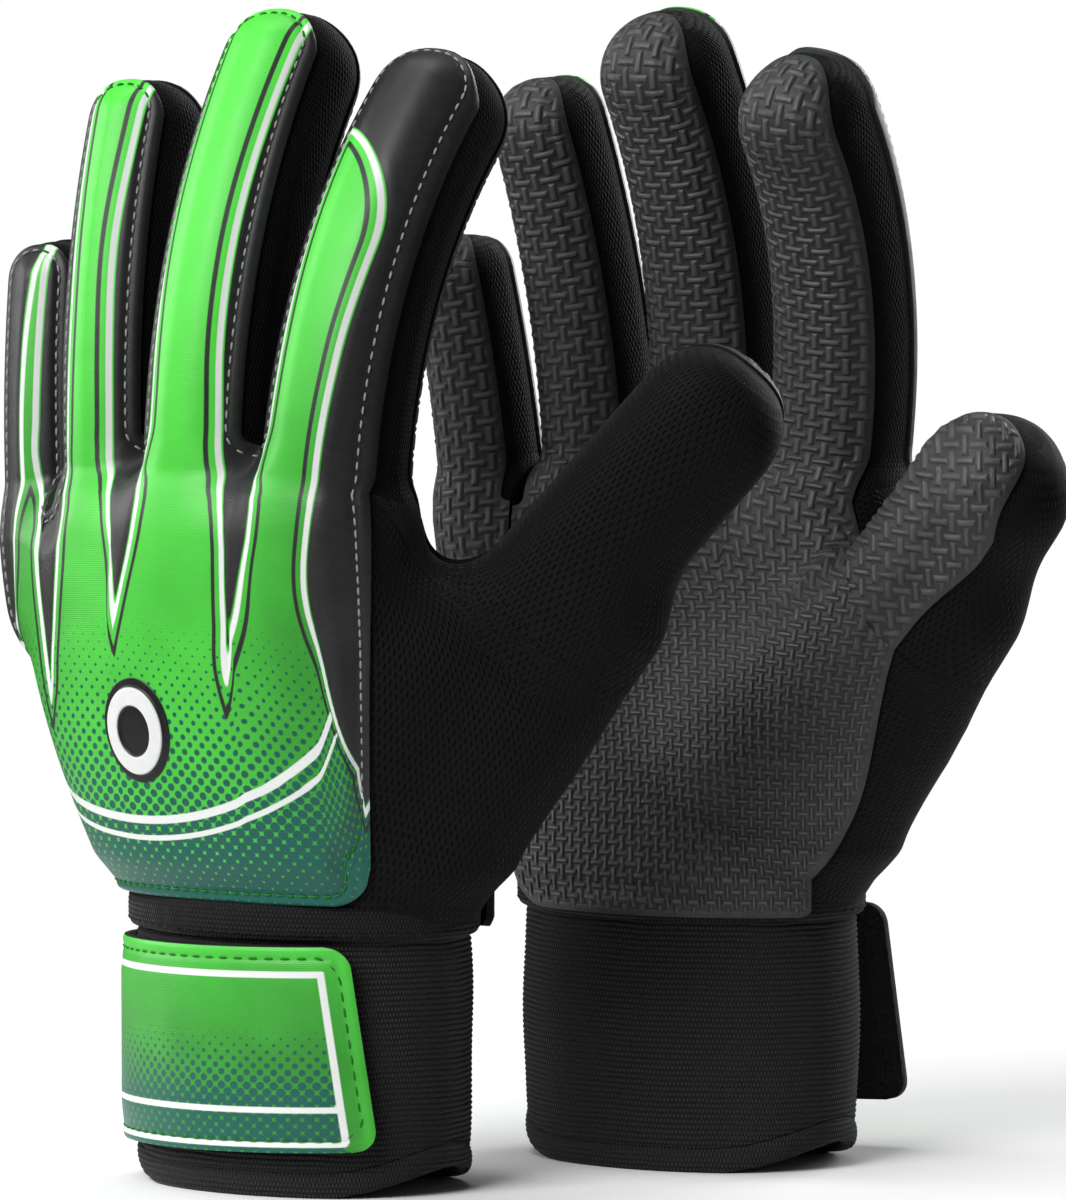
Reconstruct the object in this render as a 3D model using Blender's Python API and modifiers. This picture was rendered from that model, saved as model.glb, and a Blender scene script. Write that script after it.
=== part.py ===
"""A pair of goalkeeper gloves standing upright on their cuffs.

Each glove is sewn from thin panels laid on one smooth hand form. The form has its own axes:
a runs across the hand to the thumb, n runs out of the back of the hand, and z runs up.
Fingers bend at the knuckles, thumbs bend at their roots, and the wrist straps peel open.
"""

import math
from typing import NamedTuple

import bmesh
import bpy
import numpy as np

MM = 0.001
COLLECTION = "goalkeeper_gloves"

# Where the two gloves stand, and how far each is turned about the vertical, in degrees.
GLOVE_TURN = 34.0
LEFT_PLACE = (-46.57 * MM, -17.07 * MM)
RIGHT_PLACE = (32.03 * MM, 22.93 * MM)

# Gap that neighbouring pieces keep, and walls of the sewn materials.
CLEARANCE = 0.3 * MM
SPLIT_GAP = 0.6 * MM
BACK_WALL = 2.6 * MM
LATEX_WALL = 2.6 * MM
KNIT_WALL = 1.2 * MM
LINING_WALL = 0.8 * MM
LINING_INSET = 2.0 * MM

# Elastic cuff, its turned hem and the binding tape between cuff and hand.
CUFF_HALF_WIDTH = 36.5 * MM
CUFF_HALF_DEPTH = 26.0 * MM
CUFF_WALL = 2.2 * MM
CUFF_TOP = 52.5 * MM
HEM_HEIGHT = 5.0 * MM
HEM_WALL = 2.8 * MM
HEM_RISE = 5.5 * MM
HEM_FLAT = 30.0
BINDING_HEIGHT = 5.0 * MM
BINDING_WALL = 1.2 * MM
BINDING_SPREAD = 1.5 * MM
WRIST_GAP = 1.0 * MM

# Facets of the panels, with a narrow strip along every seam.
RING_SEGMENTS = 32
HAND_ROWS = 6
FINGER_ROWS = 5
EDGE_STRIP = 1.0 * MM
FACE_SHARES = np.array((-1.0, -0.9, -0.3, 0.3, 0.9, 1.0))
WALL_SHARES = np.array((0.0, 0.1, 0.5, 0.9, 1.0))
STRAP_COLUMNS = 14
SLEEVE_SHARES = np.array((0.0, 0.35, 0.65, 0.92, 1.0))
TIP_TURN = np.radians((35.0, 65.0, 83.0, 90.0))
WALL_TURN = np.linspace(0.0, math.pi, 7)
LONGEST_STEP = 3.0 * MM
SETTLE_ROUNDS = 16
DRAPE_ROUNDS = 30

# Hand form from the wrist to the knuckles.
WRIST_HALF_WIDTH = 39.0 * MM
WRIST_HALF_DEPTH = 26.5 * MM
KNUCKLE_HEIGHT = 146.0 * MM
KNUCKLE_HALF_DEPTH = 13.6 * MM
KNUCKLE_RISE = 21.0 * MM
ARCH_DROP = 13.0 * MM
ARCH_REACH = 62.0 * MM
ARCH_CREST = 8.0 * MM
HAND_TOP = 139.0 * MM
ROUNDNESS = 2.35
TOP_FILLET = 8.0 * MM
FINGER_FILLET = 7.0 * MM
FINGER_FADE = 14.0 * MM
THUMB_FADE = 20.0 * MM
FILLET_LEAST = 0.5 * MM
WRIST_FADE = 25.0 * MM
THUMB_FILLET = 18.0 * MM

# Seams, as angles round the wrist from the back of the hand, positive to the thumb.
BACK_SEAM_OUTER = -88.0
BACK_SEAM_THUMB = 47.0
PALM_SEAM_OUTER = -127.0
PALM_SEAM_THUMB = -235.0


class Finger(NamedTuple):
    """One finger stall, measured from the knuckle line where it bends."""

    knuckle: float
    half_width: float
    half_depth: float
    length: float
    curl: float
    splay: float


FINGERS = {
    "index": Finger(143.5 * MM, 14.0 * MM, 13.4 * MM, 90.0 * MM, 50.0, 2.8),
    "middle": Finger(144.5 * MM, 13.8 * MM, 13.4 * MM, 95.0 * MM, 40.5, 1.4),
    "ring": Finger(142.8 * MM, 11.3 * MM, 12.0 * MM, 80.0 * MM, 25.0, -0.8),
    "pinky": Finger(133.0 * MM, 9.9 * MM, 10.8 * MM, 56.0 * MM, 12.5, -2.5),
}
INDEX_PLACE = 22.5 * MM
FINGER_GAP = 0.9 * MM
FINGER_LEAN = -1.7
FINGER_TAPER = 0.95
FINGER_TAIL = 16.0 * MM
NOTCH_DEPTH = 4.0 * MM
SEAM_GAP = 0.5 * MM
PIVOT_OUT = 2.6 * MM

# Share of a stall's half width that the printed back and the latex face cover.
BACK_COVER = 0.83
INDEX_COVER = 0.94
PALM_COVER = 0.88

# Thumb stalls: root inside the hand, tip of each glove's thumb and the way its face looks.
THUMB_ROOT = (25.0 * MM, -1.0 * MM, 86.0 * MM)
THUMB_TIPS = {"left": (98.0 * MM, -15.0 * MM, 166.0 * MM), "right": (90.0 * MM, -16.0 * MM, 151.0 * MM)}
THUMB_FACE = (-0.57, -0.82, 0.0)
THUMB_HALF_WIDTH = 16.4 * MM
THUMB_HALF_DEPTH = 15.2 * MM
THUMB_TAPER = 0.94
THUMB_CURL = 16.0
THUMB_SPLIT = 45.0 * MM
THUMB_COVER = 0.95

# Wrist strap: sewn end on the little-finger side, free end towards the thumb.
STRAP_LENGTH = 79.5 * MM
STRAP_WIDTH = 41.0 * MM
STRAP_BASE = 8.0 * MM
STRAP_RISE = 2.0 * MM
STRAP_SLANT = 5.5 * MM
STRAP_CORNER = 4.0 * MM
STRAP_SEWN = 8.0 * MM
STRAP_STITCH_GAP = 0.8 * MM
STRAP_SEWN_ANGLE = -86.0
STRAP_LIFT_ANGLES = {"left": 90.0, "right": -15.0}
BACKING_WALL = 1.2 * MM
FACE_WALL = 1.2 * MM
TAPE_WALL = 0.8 * MM
HOOK_LENGTH = 28.0 * MM
HOOK_MARGIN = 4.0 * MM

# Badge on the back of the hand.
BADGE_WIDTH = 19.0 * MM
BADGE_HEIGHT = 23.0 * MM
BADGE_THICKNESS = 1.6 * MM
BADGE_ACROSS = -16.5 * MM
BADGE_UP = 91.0 * MM

# Finish of each kind of piece: colour, roughness and metallic value.
FINISHES = {
    "print": ((0.10, 0.55, 0.06), 0.45, 0.0),
    "latex": ((0.020, 0.020, 0.021), 0.50, 0.0),
    "knit": ((0.010, 0.010, 0.011), 0.85, 0.0),
    "elastic": ((0.014, 0.014, 0.015), 0.80, 0.0),
    "rubber": ((0.015, 0.015, 0.016), 0.40, 0.0),
    "lining": ((0.06, 0.06, 0.065), 0.90, 0.0),
}

HAND_BOTTOM = CUFF_TOP + CLEARANCE + BINDING_HEIGHT + WRIST_GAP
ALONG = np.array((0.0, 0.0, 1.0))
FACING = np.array((0.0, -1.0, 0.0))


def unit(vector):
    """Return the vector at length one."""
    return vector / np.linalg.norm(vector)


def smooth_union(first, second, reach):
    """Join two distance fields with a fillet of the given reach."""
    share = np.clip(0.5 + 0.5 * (second - first) / reach, 0.0, 1.0)
    return second * (1 - share) + first * share - reach * share * (1 - share)


def power(value):
    """Shape a sine or cosine so that a section follows the form's roundness."""
    return np.sign(value) * np.abs(value) ** (2 / ROUNDNESS)


def polar(cover):
    """Angle from the middle of the back at which a panel of this cover ends."""
    return math.asin(cover ** (ROUNDNESS / 2))


class Limb:
    """A finger or thumb stall: a rounded section swept along an arc that curls to the palm."""

    def __init__(self, root, up, face, lean, curl, length, tail, half_width, half_depth, taper):
        self.root = np.array(root, float)
        self.up = unit(np.array(up, float))
        face = np.array(face, float)
        self.face = unit(face - self.up * (face @ self.up))
        self.side = np.cross(self.up, self.face)
        self.lean = math.radians(lean)
        self.bend = math.radians(curl) / length
        self.length = length
        self.tail = tail
        self.half_width = half_width
        self.half_depth = half_depth
        self.taper = taper
        self.cap = length - half_width * taper

    def section(self, t):
        """Half width and half depth at a distance along the limb."""
        share = 1 + (self.taper - 1) * np.clip(t / self.length, 0.0, 1.0)
        return self.half_width * share, self.half_depth * share

    def frame(self, t):
        """Centre, direction and back of the limb at a distance along it."""
        t = np.asarray(t, float)
        arc = np.minimum(t, self.cap)
        angle = self.lean + self.bend * arc
        rise = (np.sin(angle) - math.sin(self.lean)) / self.bend
        sway = (math.cos(self.lean) - np.cos(angle)) / self.bend
        cosine, sine = np.cos(angle)[..., None], np.sin(angle)[..., None]
        ahead = self.up * cosine + self.face * sine
        back = self.up * sine - self.face * cosine
        centre = self.root + self.up * rise[..., None] + self.face * sway[..., None]
        return centre + ahead * (t - arc)[..., None], ahead, back

    def place(self, x, t, d):
        """Point at x across, t along and d out of the back of the limb."""
        centre, _, back = self.frame(t)
        return centre + self.side * np.asarray(x)[..., None] + back * np.asarray(d)[..., None]

    def distance(self, points):
        """Distance field of the limb, zero on its surface."""
        offset = points - self.root
        u, v, s = offset @ self.up, offset @ self.face, offset @ self.side
        across = u + math.sin(self.lean) / self.bend
        outward = math.cos(self.lean) / self.bend - v
        t = (np.arctan2(across, outward) - self.lean) / self.bend
        d = np.hypot(across, outward) - 1 / self.bend
        centre, ahead, back = self.frame(np.array(self.cap))
        beyond = t > self.cap
        past = points - centre
        d = np.where(beyond, past @ back, d)
        reach = np.where(beyond, past @ ahead, np.minimum(t + self.tail, 0.0))
        width, depth = self.section(np.where(beyond, self.cap, t))
        total = np.abs(s) ** ROUNDNESS + np.abs(d * width / depth) ** ROUNDNESS + np.abs(reach) ** ROUNDNESS
        return total ** (1 / ROUNDNESS) - width

    def skin(self, side, x, t, beyond=0.0):
        """Point of the surface on the back (side 1) or the face (side -1), x across and t along."""
        width, depth = self.section(t)
        left = 1 - (np.abs(x) ** ROUNDNESS + np.abs(beyond) ** ROUNDNESS) / width ** ROUNDNESS
        height = depth * np.clip(left, 0.0, 1.0) ** (1 / ROUNDNESS)
        return self.place(x, t + beyond, side * height)

    def arc(self, t, angles):
        """Points round a section, at angles from the middle of the back."""
        width, depth = self.section(np.array(t))
        return self.place(width * power(np.sin(angles)), np.full(len(angles), t), depth * power(np.cos(angles)))

    def rim(self, side, t, cover_in, cover_out):
        """One row of points across the back or the face, from the little-finger side to the thumb side."""
        width, _ = self.section(np.array(t))
        x = np.where(FACE_SHARES < 0, FACE_SHARES * cover_in, FACE_SHARES * cover_out) * width
        return self.skin(side, x, np.full(len(x), t))

    def rows(self, start):
        """Distances of the rows from a start, where a narrow strip lies, to the centre of the tip."""
        return np.concatenate([[start, start + EDGE_STRIP], np.linspace(start, self.cap, FINGER_ROWS)[1:]])

    def pad(self, side, start, cover_in, cover_out):
        """Grid over the back or the face with a rounded end, from a distance along the limb to its tip."""
        straight = self.rows(start)
        t = np.concatenate([straight, np.full(len(TIP_TURN), self.cap)])
        shrink = np.concatenate([np.ones(len(straight)), power(np.cos(TIP_TURN))])
        shrink[-1] = 0.0
        width, _ = self.section(t)
        ahead = np.concatenate([np.zeros(len(straight)), power(np.sin(TIP_TURN))]) * width * cover_in
        cover = np.where(FACE_SHARES < 0, FACE_SHARES * cover_in, FACE_SHARES * cover_out)
        x = cover[None, :] * (width * shrink)[:, None]
        t = np.broadcast_to(t[:, None], x.shape)
        return self.skin(side, x, t, np.broadcast_to(ahead[:, None], x.shape))

    def band(self, start, first_in, first_out, last, shares):
        """Grid of the side wall: up the thumb side, round the tip and down the other side.

        Its edges run at the given angles from the middle of the back.
        """
        straight = self.rows(start)[:-1]
        level = np.ones(len(straight))
        t = np.concatenate([straight, np.full(len(WALL_TURN), self.cap), straight[::-1]])
        turn = np.concatenate([0.0 * level, WALL_TURN, math.pi * level])
        width, depth = self.section(t)
        first = first_out + (first_in - first_out) * (1 - np.cos(turn)) / 2
        angle = first[:, None] + (last - first)[:, None] * shares
        spread = width[:, None] * power(np.sin(angle))
        x = spread * power(np.cos(turn))[:, None]
        ahead = spread * power(np.sin(turn))[:, None]
        return self.place(x, t[:, None] + ahead, depth[:, None] * power(np.cos(angle)))


class HandForm:
    """The smooth outer form of one glove, with its four fingers and its thumb."""

    def __init__(self, hand):
        self.fingers = {}
        across = INDEX_PLACE
        last = None
        for name, finger in FINGERS.items():
            if last:
                across -= last.half_width + FINGER_GAP + finger.half_width
            splay = math.radians(finger.splay)
            root = (across, self.arch(across), finger.knuckle)
            up = (math.sin(splay), 0.0, math.cos(splay))
            self.fingers[name] = Limb(root, up, FACING, FINGER_LEAN, finger.curl, finger.length,
                                      FINGER_TAIL, finger.half_width, finger.half_depth, FINGER_TAPER)
            last = finger
        thumb_root = np.array(THUMB_ROOT)
        reach = np.array(THUMB_TIPS[hand]) - thumb_root
        length = np.linalg.norm(reach)
        self.thumb = Limb(thumb_root, reach, THUMB_FACE, -THUMB_CURL / 2, THUMB_CURL, length,
                          0.0, THUMB_HALF_WIDTH, THUMB_HALF_DEPTH, THUMB_TAPER)
        thumb_side = INDEX_PLACE + FINGERS["index"].half_width
        outer_side = across - last.half_width
        self.knuckle_half_width = (thumb_side - outer_side) / 2
        self.knuckle_centre = (thumb_side + outer_side) / 2

    @staticmethod
    def arch(across):
        """Depth of the knuckle row, which drops towards the little finger."""
        return KNUCKLE_RISE - ARCH_DROP * ((across - ARCH_CREST) / ARCH_REACH) ** 2

    def levels(self, z):
        """Centre, half sizes and arch of the hand's section at each height."""
        share = np.clip((z - HAND_BOTTOM) / (KNUCKLE_HEIGHT - HAND_BOTTOM), 0.0, 1.0)
        quick, slow = np.sin(share * math.pi / 2), share ** 1.2
        half_width = WRIST_HALF_WIDTH + (self.knuckle_half_width - WRIST_HALF_WIDTH) * quick
        half_depth = WRIST_HALF_DEPTH + (KNUCKLE_HALF_DEPTH - WRIST_HALF_DEPTH) * slow
        return self.knuckle_centre * share, KNUCKLE_RISE * quick, half_width, half_depth, ARCH_DROP * slow

    def hand(self, points):
        """Distance field of the hand without fingers or thumb."""
        across, depth, z = points[..., 0], points[..., 1], points[..., 2]
        centre, rise, half_width, half_depth, drop = self.levels(z)
        middle = rise - drop * ((across - ARCH_CREST) / ARCH_REACH) ** 2
        ratio = np.abs((across - centre) / half_width) ** ROUNDNESS
        ratio = (ratio + np.abs((depth - middle) / half_depth) ** ROUNDNESS) ** (1 / ROUNDNESS)
        side = (ratio - 1) * np.minimum(half_width, half_depth)
        return -smooth_union(-side, HAND_TOP - z, TOP_FILLET)

    def distance(self, points):
        """Distance field of the whole form. Its fillets fade out where the stalls bend."""
        z = points[..., 2]
        field = self.hand(points)
        for limb in self.fingers.values():
            fade = np.clip((limb.root[2] - z) / FINGER_FADE, 0.0, 1.0)
            reach = FILLET_LEAST + (FINGER_FILLET - FILLET_LEAST) * fade
            field = smooth_union(field, limb.distance(points), reach)
        run = (points - self.thumb.root) @ self.thumb.up
        fade = np.clip((THUMB_SPLIT - run) / THUMB_FADE, 0.0, 1.0) * np.clip((z - HAND_BOTTOM) / WRIST_FADE, 0.0, 1.0)
        reach = FILLET_LEAST + (THUMB_FILLET - FILLET_LEAST) * fade
        return smooth_union(field, self.thumb.distance(points), reach)

    def climb(self, points, level):
        """Step along the form's slope to a height over its surface, kept short."""
        step = 0.02 * MM
        rises = [self.distance(points + step * axis) - self.distance(points - step * axis) for axis in np.eye(3)]
        slope = np.stack(rises, axis=-1) / (2 * step)
        move = (level - self.distance(points))[..., None] * slope / np.sum(slope ** 2, axis=-1)[..., None]
        size = np.linalg.norm(move, axis=-1)[..., None]
        return move * np.minimum(1.0, LONGEST_STEP / np.maximum(size, CLEARANCE))

    def settle(self, points, level=0.0):
        """Move points until they lie at a height over the form's surface."""
        for _ in range(SETTLE_ROUNDS):
            points = points + self.climb(points, level)
        return points

    def drape(self, patch):
        """Lay a patch on the form with its border held, its inner points moving together."""
        inner = np.zeros(patch.shape[:2], bool)
        inner[1:-1, 1:-1] = True
        shift = np.zeros_like(patch)
        for _ in range(DRAPE_ROUNDS):
            shift[inner] += self.climb(patch[inner] + shift[inner], 0.0)
            around = shift[:-2, 1:-1] + shift[2:, 1:-1] + shift[1:-1, :-2] + shift[1:-1, 2:]
            shift[1:-1, 1:-1] = (shift[1:-1, 1:-1] + around / 4) / 2
        patch = patch + shift
        patch[inner] = self.settle(patch[inner])
        return patch

    def seam(self, first, last, shares):
        """Line laid on the form between two points."""
        line = first + (last - first) * shares[:, None]
        shift = np.zeros_like(line)
        for _ in range(DRAPE_ROUNDS):
            shift[1:-1] += self.climb(line[1:-1] + shift[1:-1], 0.0)
            shift[1:-1] = (shift[1:-1] + (shift[:-2] + shift[2:]) / 2) / 2
        line = line + shift
        line[1:-1] = self.settle(line[1:-1])
        return line

    def bind(self, grid, gap):
        """Draw the first and last rows of a grid square back from their seams, with a narrow strip inside."""
        border = {}
        for edge, inside in ((0, 1), (-1, -2)):
            seam = np.gradient(grid[edge], axis=0)
            seam /= np.linalg.norm(seam, axis=-1)[..., None]
            way = grid[inside] - grid[edge]
            way -= seam * np.sum(way * seam, axis=-1)[..., None]
            way /= np.linalg.norm(way, axis=-1)[..., None]
            border[edge] = grid[edge] + way * gap, self.settle(grid[edge] + way * (gap + EDGE_STRIP))
        return np.stack([*border[0], *grid[1:-1], *border[-1][::-1]])

    def wrist(self, start, end, shares):
        """Points round the lower edge of the hand between two seam angles."""
        angle = np.radians(start + (end - start) * shares)
        across = WRIST_HALF_WIDTH * power(np.sin(angle))
        depth = WRIST_HALF_DEPTH * power(np.cos(angle))
        return np.stack([across, depth, np.full(len(shares), HAND_BOTTOM)], axis=-1)


def even_shares(count, length):
    """Even shares of a length, with a narrow strip at each end."""
    strip = EDGE_STRIP / length
    return np.concatenate([[0.0, strip], np.linspace(0.0, 1.0, count)[1:-1], [1 - strip, 1.0]])


def edge_shares(edge):
    """Shares of the way along an edge at each of its points."""
    run = np.concatenate([[0.0], np.cumsum(np.linalg.norm(np.diff(edge[:, :2], axis=0), axis=1))])
    return run / run[-1]


def patch(first, last, left, right, across, along):
    """Grid between four border lines: two across the panel and two along it."""
    u, v = across[None, :, None], along[:, None, None]
    ruled = (1 - v) * first + v * last + (1 - u) * left[:, None] + u * right[:, None]
    corners = (1 - v) * ((1 - u) * first[0] + u * first[-1]) + v * ((1 - u) * last[0] + u * last[-1])
    return ruled - corners


def new_material(kind):
    """Return the material of a kind of piece, made once."""
    material = bpy.data.materials.get(kind)
    if material is None:
        colour, roughness, metallic = FINISHES[kind]
        material = bpy.data.materials.new(kind)
        material.use_nodes = True
        shader = material.node_tree.nodes["Principled BSDF"]
        shader.inputs["Base Color"].default_value = (*colour, 1.0)
        shader.inputs["Roughness"].default_value = roughness
        shader.inputs["Metallic"].default_value = metallic
        material.diffuse_color = (*colour, 1.0)
    return material


class Glove:
    """One glove: its form, its place in the pair and the objects that make it."""

    def __init__(self, hand, place, collection):
        self.hand = hand
        self.mirror = np.array((1.0, -1.0 if hand == "left" else 1.0, 1.0))
        self.form = HandForm(hand)
        self.collection = collection
        self.base = self.empty("stand", None, np.zeros(3))
        self.base.location = (*place, 0.0)
        self.base.rotation_euler = (0.0, 0.0, -math.radians(GLOVE_TURN))

    def empty(self, name, parent, pivot):
        """Add an empty at a point of the glove's own axes."""
        holder = bpy.data.objects.new(f"{self.hand}_{name}_axis", None)
        holder.empty_display_size = 10 * MM
        holder.location = pivot * self.mirror
        holder.parent = parent
        holder["pivot"] = [float(value) for value in pivot]
        self.collection.objects.link(holder)
        return holder

    def add(self, name, points, faces, kind, holder):
        """Add a mesh of the glove, welded and parented to its empty."""
        holder = holder or self.base
        local = (points.reshape(-1, 3) - np.array(holder["pivot"])) * self.mirror
        if self.hand == "left":
            faces = [face[::-1] for face in faces]
        mesh = bpy.data.meshes.new(f"{self.hand}_{name}")
        mesh.from_pydata(local.tolist(), [], faces)
        work = bmesh.new()
        work.from_mesh(mesh)
        bmesh.ops.remove_doubles(work, verts=work.verts, dist=0.01 * MM)
        work.to_mesh(mesh)
        work.free()
        mesh.materials.append(new_material(kind))
        piece = bpy.data.objects.new(f"{self.hand}_{name}", mesh)
        piece.parent = holder
        self.collection.objects.link(piece)
        return piece

    def sheet(self, name, grid, wall, kind, outside, holder=None, outward=False):
        """Add a panel from a grid of points, given its wall by Solidify.

        The wall grows to the inside of the form, or to its outside where outward is set.
        """
        rows, columns = grid.shape[:2]
        number = np.arange(rows * columns).reshape(rows, columns)
        quads = np.stack([number[:-1, :-1], number[:-1, 1:], number[1:, 1:], number[1:, :-1]], axis=-1)
        corners = grid.reshape(-1, 3)[quads.reshape(-1, 4)]
        normal = np.cross(corners[:, 2] - corners[:, 0], corners[:, 3] - corners[:, 1])
        middle = corners.mean(axis=1)
        normal = normal / np.maximum(np.linalg.norm(normal, axis=1), 1e-12)[:, None]
        rise = outside(middle + normal * MM) - outside(middle - normal * MM)
        faces = quads.reshape(-1, 4).tolist()
        if np.sum(rise) < 0:
            faces = [face[::-1] for face in faces]
        piece = self.add(name, grid, faces, kind, holder)
        solid = piece.modifiers.new("wall", "SOLIDIFY")
        solid.thickness = wall
        solid.offset = 1.0 if outward else -1.0
        return piece

    def ring(self, name, profile, kind):
        """Add a closed band from points of its profile at every angle round the cuff."""
        loops, around = profile.shape[:2]
        number = np.arange(loops * around).reshape(loops, around)
        after = np.roll(number, -1, axis=1)
        above = np.roll(number, -1, axis=0)
        corner = np.roll(above, -1, axis=1)
        faces = np.stack([number, after, corner, above], axis=-1).reshape(-1, 4).tolist()
        piece = self.add(name, profile, faces, kind, None)
        work = bmesh.new()
        work.from_mesh(piece.data)
        bmesh.ops.recalc_face_normals(work, faces=work.faces)
        work.to_mesh(piece.data)
        work.free()
        return piece


def oval(offset, angle):
    """Across and depth of the cuff's outer oval, moved outwards by an offset."""
    across = (CUFF_HALF_WIDTH + offset) * np.sin(angle)
    depth = (CUFF_HALF_DEPTH + offset) * np.cos(angle)
    return across, depth


def hem_rise(angle):
    """Height of the hem's lower edge, flat at the front and back and raised at the sides."""
    lean = np.degrees(np.arcsin(np.abs(np.sin(angle))))
    share = np.clip((lean - HEM_FLAT) / (90.0 - HEM_FLAT), 0.0, 1.0)
    return HEM_RISE * share * share * (3 - 2 * share)


def make_cuff(glove):
    """Hem, elastic cuff and binding tape, stacked from the floor up."""
    angle = np.linspace(0.0, 2 * math.pi, RING_SEGMENTS, endpoint=False)
    low = hem_rise(angle)
    top = low + HEM_HEIGHT
    start = top + CLEARANCE
    level = np.full_like(angle, CUFF_TOP)
    half = (start + level) / 2

    def band(name, wall, corners, kind):
        rows = [np.stack([*oval(offset - wall * inside, angle), height], axis=-1)
                for offset, inside, height in corners]
        glove.ring(name, np.stack(rows), kind)

    band("cuff_hem", HEM_WALL, [(0, 0, low), (0, 0, top), (0, 1, top), (0, 1, low)], "elastic")
    cuff = [(0, 0, start), (0, 0, half), (0, 0, level), (0, 1, level), (0, 1, half), (0, 1, start)]
    band("cuff", CUFF_WALL, cuff, "elastic")
    tape = level + CLEARANCE
    lid = tape + BINDING_HEIGHT
    spread = BINDING_SPREAD
    corners = [(spread, 0, tape), (spread, 0, lid), (spread, 1, lid), (spread, 1, tape)]
    band("wrist_binding", BINDING_WALL, corners, "knit")


def finger_covers(name):
    """Shares of a finger covered by its printed back, to the outer side and to the thumb side."""
    return BACK_COVER, INDEX_COVER if name == "index" else BACK_COVER


def notch(first, last):
    """Bottom of the cut between two fingers, below the ends of their edges."""
    return ((first + last) / 2 - NOTCH_DEPTH * ALONG)[None]


def make_hand(glove):
    """Back, palm, thumb side and outer side of the hand, and its lining."""
    form = glove.form
    field = form.distance
    below = -SPLIT_GAP / 2
    back_edge, palm_edge = [], []
    for name in reversed(FINGERS):
        limb = form.fingers[name]
        back_row = limb.rim(1, below, *finger_covers(name))
        palm_row = limb.rim(-1, below, PALM_COVER, PALM_COVER)
        if back_edge:
            back_edge.append(notch(back_edge[-1][-1], back_row[0]))
            palm_edge.append(notch(palm_edge[-1][-1], palm_row[0]))
        back_edge.append(back_row)
        palm_edge.append(palm_row)
    index, thumb = form.fingers["index"], form.thumb
    cut = THUMB_SPLIT + below
    thumb_row = thumb.rim(-1, cut, THUMB_COVER, THUMB_COVER)
    step = np.linspace(0.0, 1.0, 5)
    crotch = form.seam(palm_edge[-1][-1], thumb_row[0], step)
    palm_edge.append(crotch[1:-1])
    palm_edge.append(thumb_row)
    back_edge, palm_edge = np.concatenate(back_edge), np.concatenate(palm_edge)

    rise = even_shares(HAND_ROWS, KNUCKLE_HEIGHT - HAND_BOTTOM)

    def face(edge, start, end):
        run = edge_shares(edge)
        foot = form.wrist(start, end, run)
        left, right = (form.seam(foot[k], edge[k], rise) for k in (0, -1))
        return form.drape(patch(foot, edge, left, right, run, rise))

    back = face(back_edge, BACK_SEAM_OUTER, BACK_SEAM_THUMB)
    palm = face(palm_edge, PALM_SEAM_OUTER, PALM_SEAM_THUMB)
    glove.sheet("back_panel", back, BACK_WALL, "print", field)
    glove.sheet("palm_panel", palm, LATEX_WALL, "latex", field)

    wall = np.linspace(0.0, 1.0, 3)
    low = form.wrist(BACK_SEAM_OUTER, PALM_SEAM_OUTER, wall)
    turn = polar(BACK_COVER) + (math.pi - polar(PALM_COVER) - polar(BACK_COVER)) * wall
    high = form.fingers["pinky"].arc(below, -turn)
    outer = form.drape(patch(back[:, 0], palm[:, 0], low, high, rise, wall))
    glove.sheet("outer_panel", form.bind(outer, CLEARANCE), KNIT_WALL, "knit", field)

    over_thumb = np.concatenate([SLEEVE_SHARES[::-1], -SLEEVE_SHARES[1:]])
    round_thumb = (math.pi - polar(THUMB_COVER)) * over_thumb
    round_index = np.linspace(polar(INDEX_COVER), math.pi - polar(PALM_COVER), len(round_thumb))
    near = np.concatenate([back[:, -1], index.arc(below, round_index)[1:]])
    far = np.concatenate([palm[:, -1], thumb.arc(cut, round_thumb)[1:]])
    low = form.wrist(BACK_SEAM_THUMB, PALM_SEAM_THUMB + 360.0, step)
    side = form.drape(patch(near, far, low, crotch, edge_shares(near + far), step))
    crotch_end = form.bind(side.swapaxes(0, 1), SEAM_GAP).swapaxes(0, 1)[:, -2:]
    side = form.bind(np.concatenate([side[:, :-1], crotch_end], axis=1), SEAM_GAP)
    glove.sheet("thumb_panel", side, KNIT_WALL, "knit", field)

    inset = LATEX_WALL + LINING_INSET
    angle = np.radians(np.linspace(BACK_SEAM_THUMB, PALM_SEAM_THUMB, 15))
    z = np.linspace(HAND_BOTTOM + 2 * MM, HAND_TOP - NOTCH_DEPTH - TOP_FILLET, 4)
    centre, rise, half_width, half_depth, drop = (value[:, None] for value in form.levels(z))
    across = centre + (half_width - inset) * power(np.sin(angle))
    middle = rise - drop * ((across - ARCH_CREST) / ARCH_REACH) ** 2
    lining = np.stack([across, middle + (half_depth - inset) * power(np.cos(angle)),
                       np.broadcast_to(z[:, None], across.shape)], axis=-1)
    glove.sheet("lining", lining, LINING_WALL, "lining", form.hand)


def hinge(glove, name, limb, t):
    """Empty on the line where a stall bends, just outside its latex face."""
    centre, _, back = limb.frame(np.array(t))
    return glove.empty(name, glove.base, centre - back * (limb.half_depth + PIVOT_OUT))


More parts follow.
